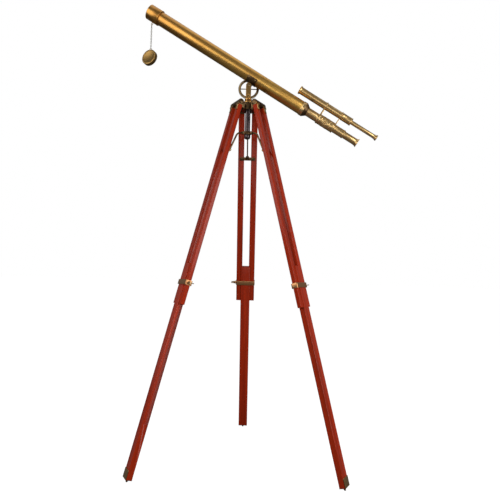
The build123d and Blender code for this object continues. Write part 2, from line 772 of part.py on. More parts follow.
def make_lens_ring():
    ring_r = TUBE_R - TUBE_WALL - FIT_GAP
    points = [(18.2, 23.2), (18.2, ring_r), (24.0, ring_r), (24.0, 23.2)]
    save(turn(SCOPE_FRONT, points), "lens_ring")


def make_tail_flange():
    seat = TUBE_R + FIT_GAP
    points = [
        (708.2, seat),
        (708.2, 27.3),
        (709.0, 27.8),
        (722.1, 27.8),
        (723.4, 27.0),
        (736.9, NECK_R + 0.6),
        (736.9, NECK_R),
        (FOCUSER_START, NECK_R),
        (FOCUSER_START, 14.6),
        (733.2, 14.6),
        (719.7, 24.0),
        (719.7, seat),
    ]
    save(turn(SCOPE_FRONT, points), "tail_flange")


def make_focuser_body():
    rear_ring = BRACKETS["rear"]
    front_ring = BRACKETS["front"]
    points = [
        (FOCUSER_START, 15.2),
        (FOCUSER_START, SEAT_R),
        (front_ring[1], SEAT_R),
        (front_ring[1], FOCUSER_R),
        (801.8, FOCUSER_R),
        (801.8, 17.6),
        (832.4, 17.6),
        (832.4, FOCUSER_R),
        (835.6, FOCUSER_R),
        (835.6, FOCUSER_R - 0.5),
        (836.7, FOCUSER_R - 0.5),
        (836.7, FOCUSER_R),
        (rear_ring[0], FOCUSER_R),
        (rear_ring[0], SEAT_R),
        (rear_ring[1], SEAT_R),
        (rear_ring[1], SLEEVE_R),
        (898.9, SLEEVE_R),
        (899.5, SLEEVE_R + 0.9),
        (SLEEVE_END - 0.6, SLEEVE_R + 0.9),
        (SLEEVE_END, SLEEVE_R + 0.3),
        (SLEEVE_END, DRAW_R + PIN_PLAY),
        (828.8, DRAW_R + PIN_PLAY),
        (828.8, 15.2),
    ]
    save(turn(SCOPE_FRONT, points), "focuser_body")


def make_knurled_ring():
    with BuildPart() as ring:
        with BuildSketch(cross_plane(SCOPE_FRONT, 801.9)):
            Circle(19.8)
            with PolarLocations(19.8, 60):
                Circle(0.55)
            Circle(17.6 + FIT_GAP, mode=Mode.SUBTRACT)
        extrude(amount=30.3)
    save(ring, "knurled_ring")


def make_finder_bracket(name, start, end):
    post_w = 8.0
    finder_ring_r = FINDER_R + 2.4
    finder_seat = FINDER_R + FIT_GAP
    with BuildPart() as bracket:
        with BuildSketch(cross_plane(SCOPE_FRONT, start)):
            Circle(FOCUSER_R + 0.7)
            with Locations((FINDER_ABOVE, 0)):
                Circle(finder_ring_r)
            with Locations((FINDER_ABOVE / 2, 0)):
                Rectangle(FINDER_ABOVE, post_w)
            Circle(SEAT_R + FIT_GAP, mode=Mode.SUBTRACT)
            with Locations((FINDER_ABOVE, 0)):
                Circle(finder_seat, mode=Mode.SUBTRACT)
        extrude(amount=end - start)
    save(bracket, f"finder_bracket_{name}")


def make_finder_tube():
    points = [
        (FINDER_START, 14.4),
        (FINDER_START, 16.3),
        (FINDER_START + 5.0, 16.3),
        (FINDER_START + 8.0, FINDER_R),
        (859.0, FINDER_R),
        (859.6, FINDER_COLLAR_R),
        (864.8, FINDER_COLLAR_R),
        (865.4, FINDER_COLLAR_R - 0.4),
        (896.4, FINDER_COLLAR_R - 0.4),
        (897.0, FINDER_COLLAR_R),
        (FINDER_TUBE_END - 0.8, FINDER_COLLAR_R),
        (FINDER_TUBE_END, FINDER_COLLAR_R - 0.8),
        (FINDER_TUBE_END, FINDER_DRAW_R + PIN_PLAY),
        (869.7, FINDER_DRAW_R + PIN_PLAY),
        (869.7, 12.4),
        (FINDER_START + 10.0, 12.4),
        (FINDER_START + 10.0, 11.2),
        (FINDER_START + 8.5, 11.2),
        (FINDER_START + 8.5, 12.4),
        (FINDER_START + 3.0, 12.4),
    ]
    save(turn(FINDER_FRONT, points), "finder_tube")


def make_finder_lens():
    at = FINDER_START + 4.0
    points = [(at, 0), (at + 1.4, 12.32), (at + 4.2, 12.32), (at + 4.4, 0)]
    save(turn(FINDER_FRONT, points), "finder_lens")


def make_chain_eyelet():
    base = SCOPE_FRONT + BACK_DIR * EYELET_AT - OVER_DIR * (DEW_CAP_R + FIT_GAP)
    ring_middle = base - OVER_DIR * (EYE_STEM_LENGTH + EYE_RING_R)
    with BuildPart() as eyelet:
        with BuildSketch(Plane(origin=base, x_dir=BACK_DIR, z_dir=-OVER_DIR)):
            Circle(EYE_STEM_R)
        extrude(amount=EYE_STEM_LENGTH + 0.2)
        ring_start = ring_middle + OVER_DIR * EYE_RING_R
        with BuildSketch(Plane(origin=ring_start, x_dir=OVER_DIR, z_dir=TOWARD_FRONT)):
            Circle(EYE_WIRE_R)
        revolve(axis=Axis(ring_middle, BACK_DIR))
    save(eyelet, "chain_eyelet")


def chain_pivot():
    drop = DEW_CAP_R + FIT_GAP + EYE_STEM_LENGTH + 2 * EYE_RING_R
    return SCOPE_FRONT + BACK_DIR * EYELET_AT - OVER_DIR * drop


def cap_pivot():
    """Middle of the last link's lower end, which the lens cap's loop hangs on."""
    span = 2 * LINK_HALF_LENGTH + (LINK_COUNT - 1) * LINK_PITCH
    return chain_pivot() + UP * LINK_PLAY - UP * span


def make_chain():
    straight = LINK_HALF_LENGTH - LINK_HALF_WIDTH
    first = chain_pivot() + UP * (LINK_PLAY - LINK_HALF_LENGTH)
    with BuildPart() as chain:
        for i in range(LINK_COUNT):
            middle = first - UP * (LINK_PITCH * i)
            normal = TOWARD_FRONT if i % 2 == 0 else Vector(1, 0, 0)
            flat = Plane(origin=middle, x_dir=UP, z_dir=normal)
            with BuildLine(flat) as loop:
                Line((-straight, LINK_HALF_WIDTH), (straight, LINK_HALF_WIDTH))
                ThreePointArc(
                    (straight, LINK_HALF_WIDTH), (LINK_HALF_LENGTH, 0), (straight, -LINK_HALF_WIDTH)
                )
                Line((straight, -LINK_HALF_WIDTH), (-straight, -LINK_HALF_WIDTH))
                ThreePointArc(
                    (-straight, -LINK_HALF_WIDTH), (-LINK_HALF_LENGTH, 0), (-straight, LINK_HALF_WIDTH)
                )
            start = flat.from_local_coords(Vector(0, LINK_HALF_WIDTH, 0))
            with BuildSketch(Plane(origin=start, z_dir=UP)):
                Circle(LINK_WIRE_R)
            sweep(path=loop.wire())
    save(chain, "chain")


def cap_loop_middle():
    return cap_pivot() + UP * (LINK_PLAY - EYE_RING_R)


def lens_cap_plane():
    """Plane of the lens cap's outer face: Z outwards, X up the face to the loop on the rim."""
    uphill = (UP - LENS_CAP_OUT * LENS_CAP_OUT.dot(UP)).normalized()
    rim_to_loop = LENS_CAP_R + EYE_STEM_LENGTH + EYE_RING_R
    centre = cap_loop_middle() - uphill * rim_to_loop + LENS_CAP_OUT * (LENS_CAP_DEPTH / 2)
    return Plane(origin=centre, x_dir=uphill, z_dir=LENS_CAP_OUT)


def make_lens_cap():
    face = lens_cap_plane()
    loop_middle = cap_loop_middle()
    rim_top = face.origin + face.x_dir * (LENS_CAP_R - 0.8) - face.z_dir * (LENS_CAP_DEPTH / 2)
    with BuildPart() as cap:
        with BuildSketch(face.offset(-LENS_CAP_DEPTH)):
            Circle(LENS_CAP_R)
        extrude(amount=LENS_CAP_DEPTH)
        chamfer(cap.faces().sort_by(Axis(face.origin, face.z_dir))[-1].edges(), length=1)
        with BuildSketch(Plane(origin=rim_top, x_dir=face.z_dir, z_dir=face.x_dir)):
            Circle(EYE_STEM_R)
        extrude(amount=EYE_STEM_LENGTH + 1.2)
        with BuildSketch(face.offset(-LENS_CAP_DEPTH)):
            Circle(LENS_CAP_BORE_R)
        extrude(amount=LENS_CAP_DEPTH - LENS_CAP_FACE, mode=Mode.SUBTRACT)
        with BuildSketch(face):
            Circle(CAP_DISH_R)
        extrude(amount=-CAP_DISH_DEPTH, mode=Mode.SUBTRACT)
        ring_start = loop_middle + UP * EYE_RING_R
        with BuildSketch(Plane(origin=ring_start, x_dir=UP, z_dir=Vector(1, 0, 0))):
            Circle(EYE_WIRE_R)
        revolve(axis=Axis(loop_middle, TOWARD_FRONT))
    save(cap, "lens_cap")


# ---- sliding eyepieces ----
def make_draw_tube():
    points = [(836.6, 12.3), (836.6, DRAW_R), (DRAW_END, DRAW_R), (DRAW_END, 12.3)]
    save(turn(SCOPE_FRONT, points), "draw_tube")


def make_eyecup():
    with BuildPart() as cup:
        with BuildSketch(axial_plane(SCOPE_FRONT)):
            with BuildLine():
                Polyline(
                    (DRAW_END + 0.02, 11.2),
                    (DRAW_END + 0.02, DRAW_R + 0.4),
                    (DRAW_END + 2.0, DRAW_R + 0.6),
                )
                ThreePointArc(
                    (DRAW_END + 2.0, DRAW_R + 0.6),
                    (DRAW_END + 7.6, DRAW_R + 1.9),
                    (SCOPE_LENGTH - 2.0, EYECUP_R),
                )
                Polyline(
                    (SCOPE_LENGTH - 2.0, EYECUP_R),
                    (SCOPE_LENGTH, EYECUP_R - 0.4),
                    (SCOPE_LENGTH, EYECUP_R - 2.6),
                )
                ThreePointArc(
                    (SCOPE_LENGTH, EYECUP_R - 2.6),
                    (DRAW_END + 8.4, 10.4),
                    (DRAW_END + 5.6, 5.5),
                )
                Polyline(
                    (DRAW_END + 5.6, 5.5),
                    (DRAW_END + 3.4, 5.5),
                    (DRAW_END + 3.4, 11.2),
                    (DRAW_END + 0.02, 11.2),
                )
            make_face()
        revolve(axis=Axis(SCOPE_FRONT, BACK_DIR))
    save(cup, "eyecup")


def make_eye_lens():
    at = DRAW_END + 0.2
    points = [(at, 0), (at + 0.6, 11.1), (at + 2.4, 11.1), (at + 3.0, 0)]
    save(turn(SCOPE_FRONT, points), "eye_lens")


def make_finder_draw_tube():
    points = [(884.0, 7.1), (884.0, FINDER_DRAW_R), (FINDER_DRAW_END, FINDER_DRAW_R), (FINDER_DRAW_END, 7.1)]
    save(turn(FINDER_FRONT, points), "finder_draw_tube")


def make_finder_eyecup():
    back = FINDER_DRAW_END + FIT_GAP
    points = [
        (back, 3.6),
        (back, FINDER_DRAW_R + 0.5),
        (back + 3.0, FINDER_DRAW_R + 0.7),
        (back + 8.0, FINDER_DRAW_R + 1.4),
        (FINDER_LENGTH_END - 3.4, FINDER_EYECUP_R),
        (FINDER_LENGTH_END - 0.6, FINDER_EYECUP_R),
        (FINDER_LENGTH_END, FINDER_EYECUP_R - 0.7),
        (FINDER_LENGTH_END, 9.4),
        (back + 6.0, 3.6),
    ]
    save(turn(FINDER_FRONT, points), "finder_eyecup")


def make_everything():
    os.makedirs("parts", exist_ok=True)
    make_head_casting()
    make_centre_column()
    make_column_cap()
    make_hinge_pins()
    make_spreader_collar()
    make_collar_pins()
    for azimuth, name in zip(AZIMUTHS, LEG_NAMES):
        make_stay(azimuth, name)
        make_leg_rails(azimuth, name)
        make_hinge_fittings(azimuth, name)
        make_stay_bracket(azimuth, name)
        make_leg_fasteners(azimuth, name)
        make_clamp_band(azimuth, name)
        make_clamp_knob(azimuth, name)
        make_lower_leg(azimuth, name)
        make_foot_shoe(azimuth, name)
    make_turning_post()
    make_tilt_wheel()
    make_tilt_pinion()
    make_tilt_knob()
    make_tilt_axle()
    make_axle_nut()
    make_saddle()
    make_saddle_screws()
    make_main_tube()
    make_dew_cap()
    make_objective_lens()
    make_lens_ring()
    make_tail_flange()
    make_focuser_body()
    make_knurled_ring()
    for name, (start, end) in BRACKETS.items():
        make_finder_bracket(name, start, end)
    make_finder_tube()
    make_finder_lens()
    make_chain_eyelet()
    make_chain()
    make_lens_cap()
    make_draw_tube()
    make_eyecup()
    make_eye_lens()
    make_finder_draw_tube()
    make_finder_eyecup()


make_everything()
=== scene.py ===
"""Looks of a brass telescope with a finder scope on a three-legged wooden stand, built on its CAD frame."""

import math

import bmesh
import bpy
from bpy.props import (
    FloatProperty,
    FloatVectorProperty,
    IntProperty,
    PointerProperty,
)
from mathutils import Matrix, Vector


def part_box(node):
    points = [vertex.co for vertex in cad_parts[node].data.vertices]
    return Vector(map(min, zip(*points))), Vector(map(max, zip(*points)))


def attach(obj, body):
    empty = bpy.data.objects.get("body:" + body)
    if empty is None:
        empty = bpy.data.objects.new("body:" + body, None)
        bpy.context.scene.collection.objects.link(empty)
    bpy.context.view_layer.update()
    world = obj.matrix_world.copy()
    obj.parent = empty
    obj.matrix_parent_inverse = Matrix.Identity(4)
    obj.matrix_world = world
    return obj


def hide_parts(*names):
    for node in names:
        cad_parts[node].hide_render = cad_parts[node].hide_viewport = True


bl_info = {
    "name": "Telescope on a wooden stand",
    "version": (1, 0, 0),
    "blender": (4, 5, 0),
    "location": "View3D > Sidebar > Telescope",
    "description": "Builds the visible pieces, finishes and stage of a brass telescope on a tripod",
    "category": "Object",
}

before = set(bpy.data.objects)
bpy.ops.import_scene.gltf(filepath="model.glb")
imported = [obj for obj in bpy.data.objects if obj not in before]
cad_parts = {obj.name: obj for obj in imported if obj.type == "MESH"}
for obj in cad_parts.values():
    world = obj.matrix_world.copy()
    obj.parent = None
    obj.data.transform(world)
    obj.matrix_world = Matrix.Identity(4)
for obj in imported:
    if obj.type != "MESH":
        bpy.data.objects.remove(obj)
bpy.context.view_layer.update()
LEGS = {"rear": 88.5, "left": 208.5, "right": 328.5}
UP = Vector((0, 0, 1))


def middle_of(node):
    """Middle of a CAD node's box, in metres."""
    low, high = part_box(node)
    return (low + high) / 2


def work_frame(origin, x_dir, z_dir):
    """Matrix of a work frame in metres whose own units are millimetres."""
    z = Vector(z_dir).normalized()
    x = (Vector(x_dir) - z * Vector(x_dir).dot(z)).normalized()
    turn = Matrix((x, z.cross(x), z)).transposed().to_4x4()
    return Matrix.Translation(origin) @ turn @ Matrix.Scale(0.001, 4)


COLUMN = Vector((middle_of("centre_column").x, middle_of("centre_column").y, 0))


# ---- what a user may change ----
class TelescopeSizes(bpy.types.PropertyGroup):
    """Sizes of the telescope's and stand's visible pieces, in millimetres and degrees."""

    hinge_radius: FloatProperty(name="Hinge radius",
                                description="Leg hinges from the column's axis, mm", default=47.5)
    hinge_height: FloatProperty(name="Hinge height", description="Leg hinges above the floor, mm",
                                default=1356.0)
    splay: FloatProperty(name="Splay", description="Lean of each leg, degrees", default=15.34)
    pivot_height: FloatProperty(name="Pivot height", description="Tilt axle above the floor, mm",
                                default=1436.5)
    elevation: FloatProperty(name="Elevation",
                             description="How far the telescope points up, degrees", default=31.3)
    pivot_along: FloatProperty(name="Pivot along",
                               description="Tilt axle behind the dew cap's front, mm",
                               default=489.0)
    pivot_below: FloatProperty(name="Pivot below",
                               description="Tilt axle below the tube's axis, mm", default=39.0)
    finder_above: FloatProperty(name="Finder above",
                                description="Finder's axis above the tube's axis, mm",
                                default=57.4)
    tube_radius: FloatProperty(name="Tube radius", description="Outside of the main tube, mm",
                               default=26.25)
    rail_rounding: FloatProperty(name="Rail rounding", description="Rounding along the rails, mm",
                                 default=2.6)
    leg_rounding: FloatProperty(name="Lower leg rounding",
                                description="Rounding along the lower legs, mm", default=2.2)
    edge_break: FloatProperty(name="Edge break", description="Softening of turned edges, mm",
                              default=0.28)
    turned_steps: IntProperty(name="Turned steps", description="Sides of a turned piece",
                              default=96)


class TelescopeFinish(bpy.types.PropertyGroup):
    """Colours of the finishes."""

    mahogany_light: FloatVectorProperty(
        name="Light mahogany", description="Bright streaks of the wood", subtype="COLOR",
        default=(0.50, 0.032, 0.003)
    )
    mahogany_dark: FloatVectorProperty(
        name="Dark mahogany", description="Dark streaks of the wood", subtype="COLOR",
        default=(0.26, 0.015, 0.002)
    )
    brass_gold: FloatVectorProperty(
        name="Gold brass", description="Brighter brass", subtype="COLOR",
        default=(0.88, 0.56, 0.15)
    )
    brass_brown: FloatVectorProperty(
        name="Brown brass", description="Aged brass", subtype="COLOR", default=(0.46, 0.19, 0.035)
    )
    bronze: FloatVectorProperty(
        name="Dark bronze", description="Stand castings", subtype="COLOR",
        default=(0.17, 0.105, 0.05)
    )


class TelescopeStage(bpy.types.PropertyGroup):
    """Camera, floor and lights."""

    camera_at: FloatVectorProperty(
        name="Camera place", description="Camera's place", subtype="TRANSLATION", unit="LENGTH",
        default=(-0.0214, -1.9327, 0.7041),
    )
    camera_pitch: FloatProperty(name="Camera pitch", description="Upward tilt", subtype="ANGLE",
                                default=0.0500)
    camera_roll: FloatProperty(name="Camera roll", description="Lean of the camera",
                               subtype="ANGLE", default=0.0271)
    camera_lens: FloatProperty(name="Lens", description="Focal length, mm", default=34.52)
    floor_tone: FloatProperty(name="Floor tone", description="Brightness of the floor",
                              default=0.2)
    floor_glow: FloatProperty(name="Floor glow",
                              description="Light added to the floor where it is seen",
                              default=0.98)
    key_power: FloatProperty(name="Key power", description="Watts of the key light", default=60.0)


SETTING_GROUPS = {"telescope_sizes": TelescopeSizes, "telescope_finish": TelescopeFinish,
                  "telescope_stage": TelescopeStage}


def sizes():
    return bpy.context.scene.telescope_sizes


def finish_colours():
    return bpy.context.scene.telescope_finish


def scope_direction():
    """Unit vectors back along the telescope and square above it."""
    lean = math.radians(sizes().elevation)
    return Vector((math.cos(lean), 0, -math.sin(lean))), Vector((math.sin(lean), 0,
                                                                 math.cos(lean)))


def scope_frame(above=0.0):
    """Frame at the dew cap's front: Z runs back along the telescope, X is square above it."""
    back, over = scope_direction()
    s = sizes()
    front = COLUMN + UP * (s.pivot_height / 1000) - back * (s.pivot_along / 1000)
    front += over * ((s.pivot_below + above) / 1000)
    return work_frame(front, over, back)


def leg_frame(leg):
    """Frame at a leg's hinge: X along the pin, Y up the leg, Z outwards."""
    turn = math.radians(LEGS[leg])
    lean = math.radians(sizes().splay)
    radial = Vector((math.cos(turn), math.sin(turn), 0))
    tangent = Vector((-math.sin(turn), math.cos(turn), 0))
    hinge = COLUMN + (radial * sizes().hinge_radius + UP * sizes().hinge_height) / 1000
    return work_frame(hinge, tangent, radial * math.cos(lean) + UP * math.sin(lean))


def column_frame(height=0.0):
    return work_frame(COLUMN + UP * (height / 1000), Vector((1, 0, 0)), UP)


def gear_frame(height):
    """Frame on the column's axis whose Z runs back, away from the front."""
    return work_frame(COLUMN + UP * (height / 1000), Vector((1, 0, 0)), Vector((0, 1, 0)))


# ---- finishes ----
def start_finish(name):
    """A new material, its node tree and its shader."""
    finish = bpy.data.materials.new(name)
    finish.use_nodes = True
    tree = finish.node_tree
    return finish, tree, tree.nodes["Principled BSDF"]


def add_node(tree, kind, inputs=None, **settings):
    """A node with its settings; inputs are values or the sockets that feed it."""
    node = tree.nodes.new(kind)
    for key, value in settings.items():
        setattr(node, key, value)
    for key, value in (inputs or {}).items():
        if isinstance(value, bpy.types.NodeSocket):
            tree.links.new(value, node.inputs[key])
        else:
            node.inputs[key].default_value = value
    return node


def own_place(tree, matrix=None, scale=(1, 1, 1)):
    """Coordinates in a piece's own frame, in metres, stretched by scale."""
    place = add_node(tree, "ShaderNodeTexCoord").outputs["Object"]
    if matrix is not None:
        place = add_node(
            tree, "ShaderNodeMapping",
            {"Vector": place, "Location": matrix.translation, "Rotation": matrix.to_euler()},
            vector_type="TEXTURE",
        ).outputs["Vector"]
    return add_node(tree, "ShaderNodeMapping", {"Vector": place, "Scale": scale}).outputs["Vector"]


def noise(tree, place, scale, detail=4.0, roughness=0.55, distortion=0.0):
    return add_node(
        tree, "ShaderNodeTexNoise",
        {"Vector": place, "Scale": scale, "Detail": detail, "Roughness": roughness,
         "Distortion": distortion},
    ).outputs["Fac"]


def ramp(tree, fac, stops):
    """A colour ramp from (place, tone or colour) stops."""
    node = add_node(tree, "ShaderNodeValToRGB", {"Fac": fac})
    elements = node.color_ramp.elements
    while len(elements) < len(stops):
        elements.new(0.5)
    for element, (at, tone) in zip(elements, stops):
        element.position = at
        element.color = (*tone, 1) if isinstance(tone, (tuple, list, Vector)) else (tone, tone,
                                                                                    tone, 1)
    return node.outputs["Color"]


def blended(tree, fac, one, other, how="MIX"):
    """Mix of two colours."""
    node = add_node(tree, "ShaderNodeMix", data_type="RGBA", blend_type=how)
    for socket, value in ((node.inputs["Factor"], fac), (node.inputs[6], one),
                          (node.inputs[7], other)):
        if isinstance(value, bpy.types.NodeSocket):
            tree.links.new(value, socket)
        elif socket.type == "RGBA":
            socket.default_value = (*value, 1)
        else:
            socket.default_value = value
    return node.outputs[2]


def fitted(tree, value, low, high):
    """A 0 to 1 value brought to the range low to high."""
    return add_node(
        tree, "ShaderNodeMapRange", {"Value": value, "To Min": low, "To Max": high}
    ).outputs["Result"]


def bumped(tree, shader, height, strength, distance):
    bump = add_node(tree, "ShaderNodeBump",
                    {"Height": height, "Strength": strength, "Distance": distance})
    tree.links.new(bump.outputs["Normal"], shader.inputs["Normal"])


def edge_mask(tree, radius):
    """Bright where an edge is close: for metal worn by hands, and for painted shade along the wooden legs' edges."""
    soft = add_node(tree, "ShaderNodeBevel", {"Radius": radius}, samples=4).outputs["Normal"]
    plain = add_node(tree, "ShaderNodeNewGeometry").outputs["Normal"]
    dot = add_node(tree, "ShaderNodeVectorMath", {0: soft, 1: plain},
                   operation="DOT_PRODUCT").outputs["Value"]
    return ramp(tree, dot, [(0.86, 1.0), (0.995, 0.0)])


def mahogany(leg):
    """Varnished mahogany whose grain runs down one leg."""
    colours = finish_colours()
    finish, tree, shader = start_finish(f"varnished_mahogany_{leg}")
    matrix = leg_frame(leg) @ Matrix.Scale(1000, 4)
    streaks = noise(tree, own_place(tree, matrix, (55, 1.6, 55)), 1.0, 5.0, 0.6, 0.6)
    figure = noise(tree, own_place(tree, matrix, (14, 0.9, 14)), 1.0, 2.0, 0.5, 0.4)
    pores = noise(tree, own_place(tree, matrix, (900, 14, 900)), 1.0, 3.0, 0.7)
    base = blended(
        tree, ramp(tree, streaks, [(0.34, 0.0), (0.66, 1.0)]), colours.mahogany_dark,
        colours.mahogany_light
    )
    base = blended(tree, ramp(tree, figure, [(0.30, 0.75), (0.70, 0.0)]), base,
                   (0.30, 0.020, 0.003))
    base = blended(tree, ramp(tree, pores, [(0.30, 0.55), (0.42, 0.0)]), base,
                   (0.045, 0.004, 0.002))
    # Darker along the edges: painted shade for the dark lines where a leg's faces meet.
    near_edge = edge_mask(tree, 0.0022)
    base = blended(tree, fitted(tree, near_edge, 0.0, 0.55), base, (0.06, 0.004, 0.002))
    tree.links.new(base, shader.inputs["Base Color"])
    tree.links.new(fitted(tree, streaks, 0.26, 0.42), shader.inputs["Roughness"])
    shader.inputs["Coat Weight"].default_value = 0.22
    shader.inputs["Coat Roughness"].default_value = 0.12
    shader.inputs["Specular IOR Level"].default_value = 0.12
    bumped(tree, shader, pores, 0.25, 0.0004)
    return finish


def brass(name, gold, brown, low=0.26, high=0.42, matrix=None, fade=None, patina=0.5, grain=True,
          wear=0.0):
    """Lacquered antique brass: mottled brown patina, fine turning lines, darker spots and edges worn lighter."""
    finish, tree, shader = start_finish(name)
    wide = noise(tree, own_place(tree), 9.0, 3.0, 0.5, 0.2)
    small = noise(tree, own_place(tree), 60.0, 2.0, 0.5)
    spots = noise(tree, own_place(tree), 420.0, 2.0, 0.5)
    base = blended(tree, ramp(tree, wide, [(0.32, patina), (0.68, 0.0)]), gold, brown)
    if fade is not None:
        along = add_node(
            tree, "ShaderNodeSeparateXYZ", {"Vector": own_place(tree, matrix)}
        ).outputs["Z"]
        span = add_node(
            tree, "ShaderNodeMapRange", {"Value": along, "From Min": fade[0], "From Max": fade[1]}
        ).outputs["Result"]
        base = blended(tree, ramp(tree, span, [(0.0, 0.72), (1.0, 0.0)]), base, fade[2])
    base = blended(tree, ramp(tree, small, [(0.30, 0.22), (0.65, 0.0)]), base, brown)
    base = blended(tree, ramp(tree, spots, [(0.24, 0.25), (0.33, 0.0)]), base,
                   (0.10, 0.045, 0.012))
    if wear:
        near_edge = edge_mask(tree, 0.0010)
        base = blended(tree, fitted(tree, near_edge, 0.0, wear), base, (0.90, 0.66, 0.30))
    tree.links.new(base, shader.inputs["Base Color"])
    tree.links.new(fitted(tree, wide, high, low), shader.inputs["Roughness"])
    shader.inputs["Metallic"].default_value = 1.0
    if grain and matrix is not None:
        lines = noise(tree, own_place(tree, matrix, (3, 3, 500)), 1.0, 2.0, 0.5)
        base = blended(tree, fitted(tree, lines, 0.0, 0.12), base, brown)
        tree.links.new(base, shader.inputs["Base Color"])
    return finish


def plain_metal(name, light, dark, low, high, scale=60.0, wear=0.0, worn=(0.6, 0.5, 0.35)):
    """Cast or drawn metal with cloudy tones."""
    finish, tree, shader = start_finish(name)
    clouds = noise(tree, own_place(tree), scale, 5.0, 0.6, 0.2)
    fine = noise(tree, own_place(tree), scale * 12, 2.0, 0.5)
    base = blended(tree, ramp(tree, clouds, [(0.32, 0.0), (0.66, 1.0)]), dark, light)
    if wear:
        base = blended(tree, fitted(tree, edge_mask(tree, 0.0011), 0.0, wear), base, worn)
    tree.links.new(base, shader.inputs["Base Color"])
    tree.links.new(fitted(tree, clouds, low, high), shader.inputs["Roughness"])
    shader.inputs["Metallic"].default_value = 1.0
    bumped(tree, shader, fine, 0.15, 0.0003)
    return finish


def black_paint():
    """Matt black paint inside the tubes."""
    finish, tree, shader = start_finish("matt_black_paint")
    grit = noise(tree, own_place(tree), 700.0, 3.0, 0.6)
    base = blended(tree, grit, (0.012, 0.011, 0.010), (0.03, 0.027, 0.024))
    tree.links.new(base, shader.inputs["Base Color"])
    shader.inputs["Roughness"].default_value = 0.75
    bumped(tree, shader, grit, 0.2, 0.0003)
    return finish


def coated_glass():
    """Lens glass with a faint coating colour and a little dust."""
    finish, tree, shader = start_finish("coated_lens_glass")
    dust = noise(tree, own_place(tree), 900.0, 4.0, 0.7)
    tree.links.new(fitted(tree, dust, 0.0, 0.10), shader.inputs["Roughness"])
    tint = blended(tree, noise(tree, own_place(tree), 40.0), (0.82, 0.90, 0.93),
                   (0.88, 0.92, 0.97))
    tree.links.new(tint, shader.inputs["Base Color"])
    shader.inputs["Transmission Weight"].default_value = 1.0
    shader.inputs["IOR"].default_value = 1.50
    shader.inputs["Coat Weight"].default_value = 0.6
    shader.inputs["Coat Roughness"].default_value = 0.02
    return finish


FINISHES = {}


def finish_named(key):
    """The finish of that name, made the first time that a piece asks for it."""
    if key not in FINISHES:
        c = finish_colours()
        scope = scope_frame() @ Matrix.Scale(1000, 4)
        gold, brown = tuple(c.brass_gold), tuple(c.brass_brown)
        bronze = tuple(c.bronze)
        makers = {
            "tube_brass": lambda: brass(
                "antique_brass_tube", gold, brown, 0.30, 0.40, scope,
                (0.10, 0.62, (0.40, 0.185, 0.045))
            ),
            "turned_brass": lambda: brass(
                "antique_brass_turned", (0.94, 0.68, 0.32), (0.45, 0.25, 0.08), 0.27, 0.33, scope,
                None, 0.5, True
            ),
            "cap_brass": lambda: brass("antique_brass_cap", (0.34, 0.21, 0.07),
                                       (0.16, 0.085, 0.025), 0.28, 0.45, wear=0.4),
            "band_brass": lambda: brass("clamp_band_brass", (0.60, 0.31, 0.14), (0.36, 0.17, 0.07),
                                        0.30, 0.46, wear=0.3),
            "post_brass": lambda: brass("post_brass", (0.62, 0.38, 0.13), (0.30, 0.13, 0.035),
                                        0.24, 0.42, wear=0.5),
            "strap_brass": lambda: brass("strap_brass", (0.60, 0.40, 0.18), (0.32, 0.17, 0.06),
                                         0.26, 0.42, wear=0.5),
            "bronze": lambda: plain_metal(
                "dark_bronze", bronze, (0.07, 0.04, 0.02), 0.30, 0.48, 50.0, 0.2,
                (0.36, 0.24, 0.11)
            ),
            "wheel_bronze": lambda: plain_metal(
                "wheel_bronze", (0.40, 0.28, 0.14), (0.19, 0.12, 0.06), 0.30, 0.45, 70.0, 0.5,
                (0.5, 0.42, 0.28)
            ),
            "column_steel": lambda: plain_metal(
                "column_steel", (0.19, 0.16, 0.17), (0.09, 0.075, 0.08), 0.18, 0.30, 40.0
            ),
            "chain_steel": lambda: plain_metal("chain_steel", (0.62, 0.61, 0.56),
                                               (0.36, 0.35, 0.31), 0.22, 0.38, 220.0),
            "black": black_paint,
            "glass": coated_glass,
        }
        for leg in LEGS:
            makers[f"wood_{leg}"] = lambda leg=leg: mahogany(leg)
        FINISHES[key] = makers[key]()
    return FINISHES[key]


# ---- shaping ----
def turned(bm, outline, steps=None):
    """Spins a closed outline of (along, radius) corners round Z, and gives the new faces."""
    known = set(bm.verts)
    corners = [bm.verts.new((radius, 0, along)) for along, radius in outline]
    edges = [bm.edges.new((a, b)) for a, b in zip(corners, corners[1:] + corners[:1])]
    bmesh.ops.spin(
        bm, geom=corners + edges, cent=(0, 0, 0), axis=(0, 0, 1), dvec=(0, 0, 0),
        angle=math.tau, steps=steps or sizes().turned_steps, use_merge=True, use_duplicate=False,
    )
    bmesh.ops.remove_doubles(bm, verts=[v for v in bm.verts if v not in known], dist=0.0005)
    return [f for f in bm.faces if not any(v in known for v in f.verts)]


def block(bm, low, high):
    """A box from corner to corner, and its corners."""
    low, high = Vector(low), Vector(high)
    made = bmesh.ops.create_cube(bm, size=1.0)["verts"]
    bmesh.ops.scale(bm, vec=high - low, verts=made)
    bmesh.ops.translate(bm, vec=(low + high) / 2, verts=made)
    return made


def soften(bm, width, angle=28.0, segments=2, edges=None):
    """Bevels the edges sharper than angle, or the given ones."""
    bm.normal_update()
    if edges is None:
        limit = math.radians(angle)
        edges = [e for e in bm.edges if e.is_manifold and e.calc_face_angle() > limit]
    if edges:
        bmesh.ops.bevel(
            bm, geom=edges, offset=width, offset_type="OFFSET", segments=segments, profile=0.5,
            affect="EDGES", clamp_overlap=True, material=-1,
        )


